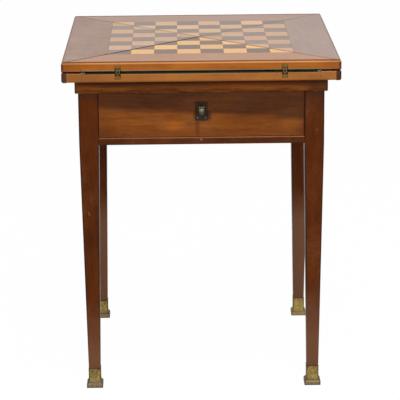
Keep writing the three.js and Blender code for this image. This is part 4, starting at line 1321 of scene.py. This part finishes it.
# Top frame: four mitred boards behind the strips, the pivot rail and the stop peg
topFrame = {"half": 0.2638, "boardWidth": 0.0548, "rail": 0.045, "arris": 0.0006, "gap": 0.00008,
            "boltBore": 0.0063, "washerBore": 0.0133, "washerDeep": 0.0063, "pegBore": 0.0052,
            "pegBoreFrom": 0.0085, "pegPlace": 0.120, "pegRadius": 0.005, "pegRound": 0.001,
            "pegLow": 0.6775, "pegHigh": 0.7035}


def makeTopFrame(size):
    # A trapezium turned to each side, the rail bored for bolt, washer and peg, and the turned peg
    z0, z1, over = carcase["bottomZ"], carcase["topZ"], top["over"]
    half, inner, gap = size["half"], size["half"] - size["boardWidth"], size["gap"]
    outline = [[-half + gap, -half], [half - gap, -half], [inner - gap, -inner], [-inner + gap, -inner]]
    for place, quarter in quarters.items():
        piece(f"top_frame_{place}", turned(prism(outline, z0, z1), quarter),
              wood("mouldingWood", "xy"[quarter % 2]), "frame",
              ["top_frame"] if place == "front" else ())
    reach = inner - carcase["joint"]
    bores = [(size["boltBore"], z0 - over, 0), (size["washerBore"], z0 - over, 0),
             (size["pegBore"], z0 + size["pegBoreFrom"], size["pegPlace"])]
    tops = (z1 + over, z0 + size["washerDeep"], z1 + over)
    rail = carved("pivot_rail", board((-reach, -size["rail"], z0), (reach, size["rail"], z1),
                                      size["arris"], "x"),
                  [moved(lathe([(r, low), (r, high)]), x, 0) for (r, low, x), high in zip(bores, tops)])
    finishPiece(rail, wood("rawPine", "x"), "frame")
    r, soft, high = size["pegRadius"], size["pegRound"], size["pegHigh"]
    peg = lathe([(r, size["pegLow"]), (r, high - soft), (r - soft * arcMiddle, high - soft * arcMiddle),
                 (r - soft, high)])
    piece("stop_peg", moved(peg, size["pegPlace"], 0), wood("drawerOak", "z"), "frame")


makeTopFrame(topFrame)
print("bed lippings and top frame made")

# Leaves: a mitred slab, its front arrises rounded, let in for veneer, baize and hinges
leaf = {"topRound": 0.004, "lowRound": 0.0015, "steps": 9, "mitreRoom": 0.000707, "boardHalf": 0.2002,
        "pastMiddle": 0.01, "veneerBed": 0.7387, "baizeCorner": 0.04243, "baizeDepth": 0.0027}


def leafSlab(size):
    # Section points at a distance d from the edge reach from one mitre to the other: |x| = half - d
    z0, z1 = top["leafBottom"], top["leafTop"]
    back, near = easing(size["topRound"], size["steps"])
    upper = np.column_stack([near, z1 - back])
    back, near = easing(size["lowRound"], size["steps"])
    lower = np.column_stack([back, z0 + near])
    apex = top["half"] - size["mitreRoom"]
    section = np.concatenate([lower, upper, [[apex, z1], [apex, z0]]])
    d, z = section[:, 0], section[:, 1]
    reach = top["half"] - d - size["mitreRoom"]
    reach[-2:] = 0
    right = np.column_stack([reach, -top["half"] + d, z])
    left = right[:-2] * [-1, 1, 1]
    count = len(section)
    points = np.concatenate([right, left])
    leftIndex = list(range(count, count + len(left))) + [count - 2, count - 1]
    faces = [list(range(count)), leftIndex[::-1]]
    for i in range(count):
        j = (i + 1) % count
        faces.append(list(dict.fromkeys([i, leftIndex[i], leftIndex[j], j])))
    return points, outward(points, [face for face in faces if len(face) > 2])


def makeLeaf(place, quarter, size):
    # The slab less its beds for veneer, baize and hinge arms, turned to its side
    reach, half, over = top["half"] + top["over"], size["boardHalf"], top["over"]
    corner = size["baizeCorner"]
    cutters = [box((-half, -half, size["veneerBed"]), (half, size["pastMiddle"], top["leafTop"] + over)),
               prism([[-reach + corner, -reach], [reach - corner, -reach], [0, -corner]],
                     top["leafBottom"] - over, top["leafBottom"] + size["baizeDepth"])]
    cutters = [turned(cutter, quarter) for cutter in cutters]
    cutters += hingePockets(top["leafBottom"], 1, quarter)
    obj = carved(f"{place}_leaf_board", turned(leafSlab(size), quarter), cutters)
    run = "xy"[quarter % 2]
    edgeKind = "edgeWood" if run == "x" else "shadedEdge"
    finishPiece(obj, [wood(edgeKind, run), wood(f"{place}Veneer", run), wood("innerWood", run)],
                f"{place}_leaf_body", [f"{place}_leaf"])
    # Veneer on the top, and inner wood underneath and on both mitred sides
    facesAlike(obj, lambda n, c: (n[:, 2] > 0.999) & (c[:, 2] > 0.7), 1)
    facesAlike(obj, lambda n, c: (n[:, 2] < -0.9) | (np.abs(np.abs(n[:, 0]) - math.sqrt(0.5)) < 0.01)
               & (np.abs(n[:, 2]) < 0.01), 2)
    makeSquares(place, quarter, squares)


squares = {"count": 8, "gap": 0.0001, "low": 0.7389, "thick": 0.0011, "room": 0.0009}


def clipped(outline, normal, offset):
    # Keeps the part of a convex outline where normal . point <= offset
    kept = []
    for i, here in enumerate(outline):
        after = outline[(i + 1) % len(outline)]
        a, b = np.dot(normal, here) - offset, np.dot(normal, after) - offset
        if a <= 0:
            kept.append(here)
        if a * b < 0:
            kept.append(here + (after - here) * a / (a - b))
    return kept


def makeSquares(place, quarter, size):
    # The squares in front of both mitres, those on a mitre cut off along it
    side, gap, count = top["square"], size["gap"], size["count"]
    half = side * count / 2
    shapes = {"light": [], "dark": []}
    for row in range(count // 2):
        for column in range(row, count - row):
            x0, y0 = -half + column * side, -half + row * side
            outline = np.array(rectangle((x0 + gap, y0 + gap), (x0 + side - gap, y0 + side - gap)))
            for way in (1, -1):
                outline = clipped(outline, np.array([way, 1]) / math.sqrt(2), -size["room"])
            if len(outline) < 3:
                continue
            middle = turnedQuarter(np.array([[x0 + side / 2, y0 + side / 2, 0]]), quarter)[0]
            file, rank = np.floor((middle[:2] + half) / side).astype(int)
            shade = "dark" if (file + rank) % 2 == 0 else "light"
            shape = prism(outline, size["low"], size["low"] + size["thick"])
            shapes[shade].append(turned(shape, quarter))
    for shade in shapes:
        replaced = [f"{place}_leaf_chessboard"] if shade == "light" else ()
        piece(f"{place}_squares_{shade}", stamp(shapes[shade]), squareMaterials[shade, place],
              f"{place}_leaf_body", replaced)


leafTones = {"front": "Front", "right": "Side", "back": "Back", "left": "Side"}
squareMaterials = {(shade, place): squareVeneer(shade + tone, "x" if tone != "Side" else "y")
                   for shade in ("light", "dark") for place, tone in leafTones.items()}
for place, quarter in quarters.items():
    makeLeaf(place, quarter, leaf)
print("leaves and chess squares made")

# Baize: flat cloth cut to its recess, with raw edges that show in the gap under the leaves
cloth = {"bedThick": 0.0009, "leafThick": 0.0014, "edgeBack": 0.0006, "armHalf": 0.0066,
         "armReach": 0.2524, "ragged": 0.0003, "step": 0.004, "bedZ": 0.7150, "leafZ": 0.7225,
         "diamond": 0.5470, "borderGap": 0.0003}
random = np.random.default_rng(5)
corner = leaf["baizeCorner"] + cloth["borderGap"] * math.sqrt(2)
clothEdge = top["half"] - cloth["edgeBack"]


def raggedLine(start, end, step, amount):
    # Points along a straight edge, each moved a little off it
    start, end = np.array(start, float), np.array(end, float)
    length = np.linalg.norm(end - start)
    count = max(int(length / step), 1)
    t = np.linspace(0, 1, count, endpoint=False)[:, None]
    along = (end - start) / length
    wave = random.uniform(-amount, amount, count)[:, None]
    wave[0] = 0
    return start + (end - start) * t + wave * [[-along[1], along[0]]]


def hingeEdge(reach, y):
    # The front edge from left to right with a notch for each hinge arm
    h, back = cloth["armHalf"], -cloth["armReach"]
    parts, x = [], -reach
    for hinge in hingePlaces:
        parts.append(raggedLine((x, y), (hinge - h, y), cloth["step"], cloth["ragged"]))
        parts.append(np.array([[hinge - h, y], [hinge - h, back], [hinge + h, back]]))
        x = hinge + h
    parts.append(raggedLine((x, y), (reach, y), cloth["step"], cloth["ragged"]))
    return np.concatenate(parts)


def trianglesOnly(obj):
    # Faces with more than four corners cut into triangles
    edit = bmesh.new()
    edit.from_mesh(obj.data)
    bmesh.ops.triangulate(edit, faces=[f for f in edit.faces if len(f.verts) > 4])
    edit.to_mesh(obj.data)
    edit.free()


def turnedOutline(outline, quarter):
    # A flat outline turned about the table's centre
    return turnedQuarter(np.insert(outline, 2, 0, axis=1), quarter)[:, :2]


def makeLeafCloths():
    # A triangle on each leaf: the notched hinge edge, and straight along both borders
    reach = clothEdge - corner
    for place, quarter in quarters.items():
        outline = np.concatenate([hingeEdge(reach, -clothEdge), [[reach, -clothEdge], [0, -corner]]])
        shape = prism(turnedOutline(outline, quarter), cloth["leafZ"] - cloth["leafThick"],
                      cloth["leafZ"])
        obj = piece(f"{place}_leaf_cloth", shape, baizeMaterial, f"{place}_leaf_body",
                    [f"{place}_leaf_baize"])
        trianglesOnly(obj)


def makeBedCloth():
    # The notched edges of the four sides in turn, joined by straight cuts across the corners
    reach = cloth["diamond"] - clothEdge
    outline = np.concatenate([
        turnedOutline(np.concatenate([hingeEdge(reach, -clothEdge), [[reach, -clothEdge]]]), quarter)
        for quarter in range(4)])
    shape = prism(outline, cloth["bedZ"], cloth["bedZ"] + cloth["bedThick"])
    obj = piece("bed_cloth", shape, baizeMaterial, "bed", ["bed_baize"])
    trianglesOnly(obj)


fray = {"place": 0.2492, "spread": 0.0036, "count": 40, "radius": 0.00028, "length": 0.0042,
        "shortest": 0.4, "sideways": 0.6, "turn": 1.3, "curl": 1.4, "start": 0.2932, "reach": 0.0029,
        "leastReach": 0.3, "z": 0.7156, "rise": (0.0009, 0.0036), "arc": 1.9, "thinning": 0.6,
        "steps": 7, "sides": 6}


def makeFray(size):
    # Loose threads where the raw edge ends: arcs that leave the cloth, rise and curl sideways
    s = np.linspace(0, 1, size["steps"])
    ring = np.linspace(0, 2 * np.pi, size["sides"], endpoint=False)
    loop = np.stack([np.cos(ring), np.zeros(size["sides"]), np.sin(ring)], axis=-1)
    radius = size["radius"] * (1 - size["thinning"] * s)[:, None, None]
    shapes = []
    for quarter in range(4):
        for side in (-1, 1):
            for _ in range(size["count"]):
                x = side * size["place"] + random.uniform(-1, 1) * size["spread"]
                length = size["length"] * random.uniform(size["shortest"], 1)
                turn = random.uniform(-size["turn"], size["turn"])
                curl = random.uniform(-size["curl"], size["curl"])
                lift = random.uniform(*size["rise"])
                reach = random.uniform(size["leastReach"], 1) * size["reach"]
                path = np.column_stack([x + length * size["sideways"] * np.sin(turn + curl * s) * s,
                                        -size["start"] - reach * s,
                                        size["z"] + lift * np.sin(size["arc"] * s)])
                shapes.append(turned(tube(path[:, None, :] + radius * loop[None]), quarter))
    piece("bed_fray", stamp(shapes), frayMaterial, "bed")


makeLeafCloths()
makeBedCloth()
makeFray(fray)
print("baize made")

# Hinges: arms and links eased, with countersunk screws in the arms
hinge = {"ease": 0.00035, "screwPlaces": (-0.2795, -0.2695, -0.2585), "radius": 0.0029,
         "slot": 0.0006, "slotDepth": 0.0007, "rise": 0.00015, "bedFace": 0.716, "leafFace": 0.721,
         "mostTurn": 3.1}
screwShape = {"sunk": 0.0012, "arcPoints": 5, "flat": 0.06, "sides": 20, "slotReach": 1.2, "cutAbove": 0.01}


def screwHead(size):
    # Shallow dome with a slot cut across it
    radius, rise, half = size["radius"], size["rise"], size["slot"] / 2
    reach = radius * screwShape["slotReach"]
    turn = np.linspace(0, np.pi / 2, screwShape["arcPoints"])[1:-1]
    dome = [(radius * math.cos(t), rise * math.sin(t)) for t in turn]
    profile = [(radius, -screwShape["sunk"]), (radius, 0), *dome, (radius * screwShape["flat"], rise)]
    head = rawObject("screwShape", lathe(profile, screwShape["sides"]))
    mesh = cutBy(head, box((-reach, -half, -size["slotDepth"]), (reach, half, screwShape["cutAbove"])))
    points = np.zeros(len(mesh.vertices) * 3)
    mesh.vertices.foreach_get("co", points)
    faces = [list(face.vertices) for face in mesh.polygons]
    bpy.data.objects.remove(head)
    return points.reshape(-1, 3), faces


def placedScrew(shape, place, face, turn):
    # Turned about its own axis and laid onto the face it is driven into
    points, faces = shape
    c, s = math.cos(turn), math.sin(turn)
    spun = np.column_stack([c * points[:, 0] - s * points[:, 1], s * points[:, 0] + c * points[:, 1],
                            points[:, 2]])
    if face == "down":
        spun = spun * [1, -1, -1]
    if face == "front":
        spun = np.column_stack([spun[:, 0], -spun[:, 2], spun[:, 1]])
    return spun + np.array(place), faces


def makeHinges(size):
    # Eased arms and links, and three screws in each arm, turned at random
    shape = screwHead(size)
    bedScrews = []
    for place, quarter in quarters.items():
        leafScrews = []
        for side, way in sides.items():
            x = way * top["hingePlace"]
            for name in (f"{place}_leaf_arm_{side}", f"{place}_bed_arm_{side}", f"{place}_link_{side}"):
                softCopy(name, metals["hingeBrass"], size["ease"])
            for y in size["screwPlaces"]:
                for screws, level, face in ((bedScrews, size["bedFace"], "up"),
                                            (leafScrews, size["leafFace"], "down")):
                    screw = placedScrew(shape, (x, y, level), face, random.uniform(0, size["mostTurn"]))
                    screws.append(turned(screw, quarter))
        piece(f"{place}_leaf_screws", stamp(leafScrews), metals["screwSteel"], f"{place}_leaf_body")
    piece("bed_screws", stamp(bedScrews), metals["screwSteel"], "bed")


makeHinges(hinge)
print("hinges made")

# Drawer, and the other nodes that keep their CAD shape
drawer = {"face": -0.2619, "ease": 0.0011}
softCopy("drawer_front", wood("drawerWood", "x"), drawer["ease"], segments=3,
         choose=lambda edge: all(v.co.y < drawer["face"] for v in edge.verts))  # on the front face
for node, material in (("drawer_side_left", wood("drawerOak", "y")),
                       ("drawer_side_right", wood("drawerOak", "y")),
                       ("drawer_back", wood("drawerOak", "x")), ("drawer_bottom", wood("rawPine", "x")),
                       ("bed_board", wood("innerWood", "x")), ("pivot_pin", metals["pivotIron"])):
    nodes[node].data.materials.clear()
    nodes[node].data.materials.append(material)

# Plate with two screws, and the drop that hangs between its ears
pull = {"ease": 0.0004, "pinY": -0.2694, "pinZ": 0.636, "barrel": 0.0019, "barrelHalf": 0.0022,
        "barrelEase": 0.0003, "barrelEnd": 0.8, "flute": 0.2, "flutes": 3, "sides": 36, "stepsBetween": 3}
plateScrew = {"face": -0.264, "x": 0.00865, "z": 0.6117, "turns": {-1: 0.5, 1: 1.1}, "radius": 0.0019,
              "slot": 0.0004, "slotDepth": 0.0005, "rise": 0.0005}
# Height, half width and half thickness down the drop
dropSections = np.array([
    [0.6362, 0.0009, 0.0008], [0.6347, 0.0016, 0.0011], [0.6336, 0.0022, 0.0013],
    [0.6331, 0.0044, 0.0015], [0.6323, 0.0059, 0.0018], [0.6310, 0.0066, 0.0020],
    [0.6295, 0.0065, 0.0021], [0.6278, 0.0057, 0.0021], [0.6262, 0.0050, 0.0020],
    [0.6246, 0.0053, 0.0018], [0.6228, 0.0056, 0.0016], [0.6210, 0.0050, 0.0015],
    [0.6198, 0.0038, 0.0013], [0.6191, 0.0024, 0.0010], [0.6189, 0.0006, 0.0004]])


def makeDrop(size):
    # Elliptical sections stacked down the drop, the thickness times 1 + 0.2 cos 3t, which leaves
    # a ridge between two flutes on the face, and a barrel about the pin
    last = len(dropSections) - 1
    stations = np.linspace(0, last, size["stepsBetween"] * last + 1)
    z, width, thick = (np.interp(stations, np.arange(last + 1), column)[:, None] for column in dropSections.T)
    turn = np.linspace(0, 2 * np.pi, size["sides"], endpoint=False)
    fluted = thick * (1 + size["flute"] * np.cos(size["flutes"] * (turn + np.pi / 2))) * np.sin(turn)
    body = tube(np.stack([width * np.cos(turn), size["pinY"] + fluted,
                          np.repeat(z, size["sides"], axis=1)], axis=-1))
    r, h, ease = size["barrel"], size["barrelHalf"], size["barrelEase"]
    end = r * size["barrelEnd"]
    points, faces = lathe([(end, -h), (r, -h + ease), (r, h - ease), (end, h)])
    barrel = np.column_stack([points[:, 2], size["pinY"] + points[:, 0], size["pinZ"] + points[:, 1]])
    return piece("drop_shaped", stamp([body, (barrel, outward(barrel, faces))]),
                 metals["pullBrass"], "pull", ["drop_pull"], angle=50)


def makePlateScrews(size):
    # One to each side, below the drop
    shape = screwHead(size)
    heads = [placedScrew(shape, (way * size["x"], size["face"], size["z"]), "front", turn)
             for way, turn in size["turns"].items()]
    piece("plate_screws", stamp(heads), metals["screwSteel"], "drawer")


softCopy("pull_plate", metals["darkBronze"], pull["ease"])
makeDrop(pull)
makePlateScrews(plateScrew)
print("drawer and pull made")
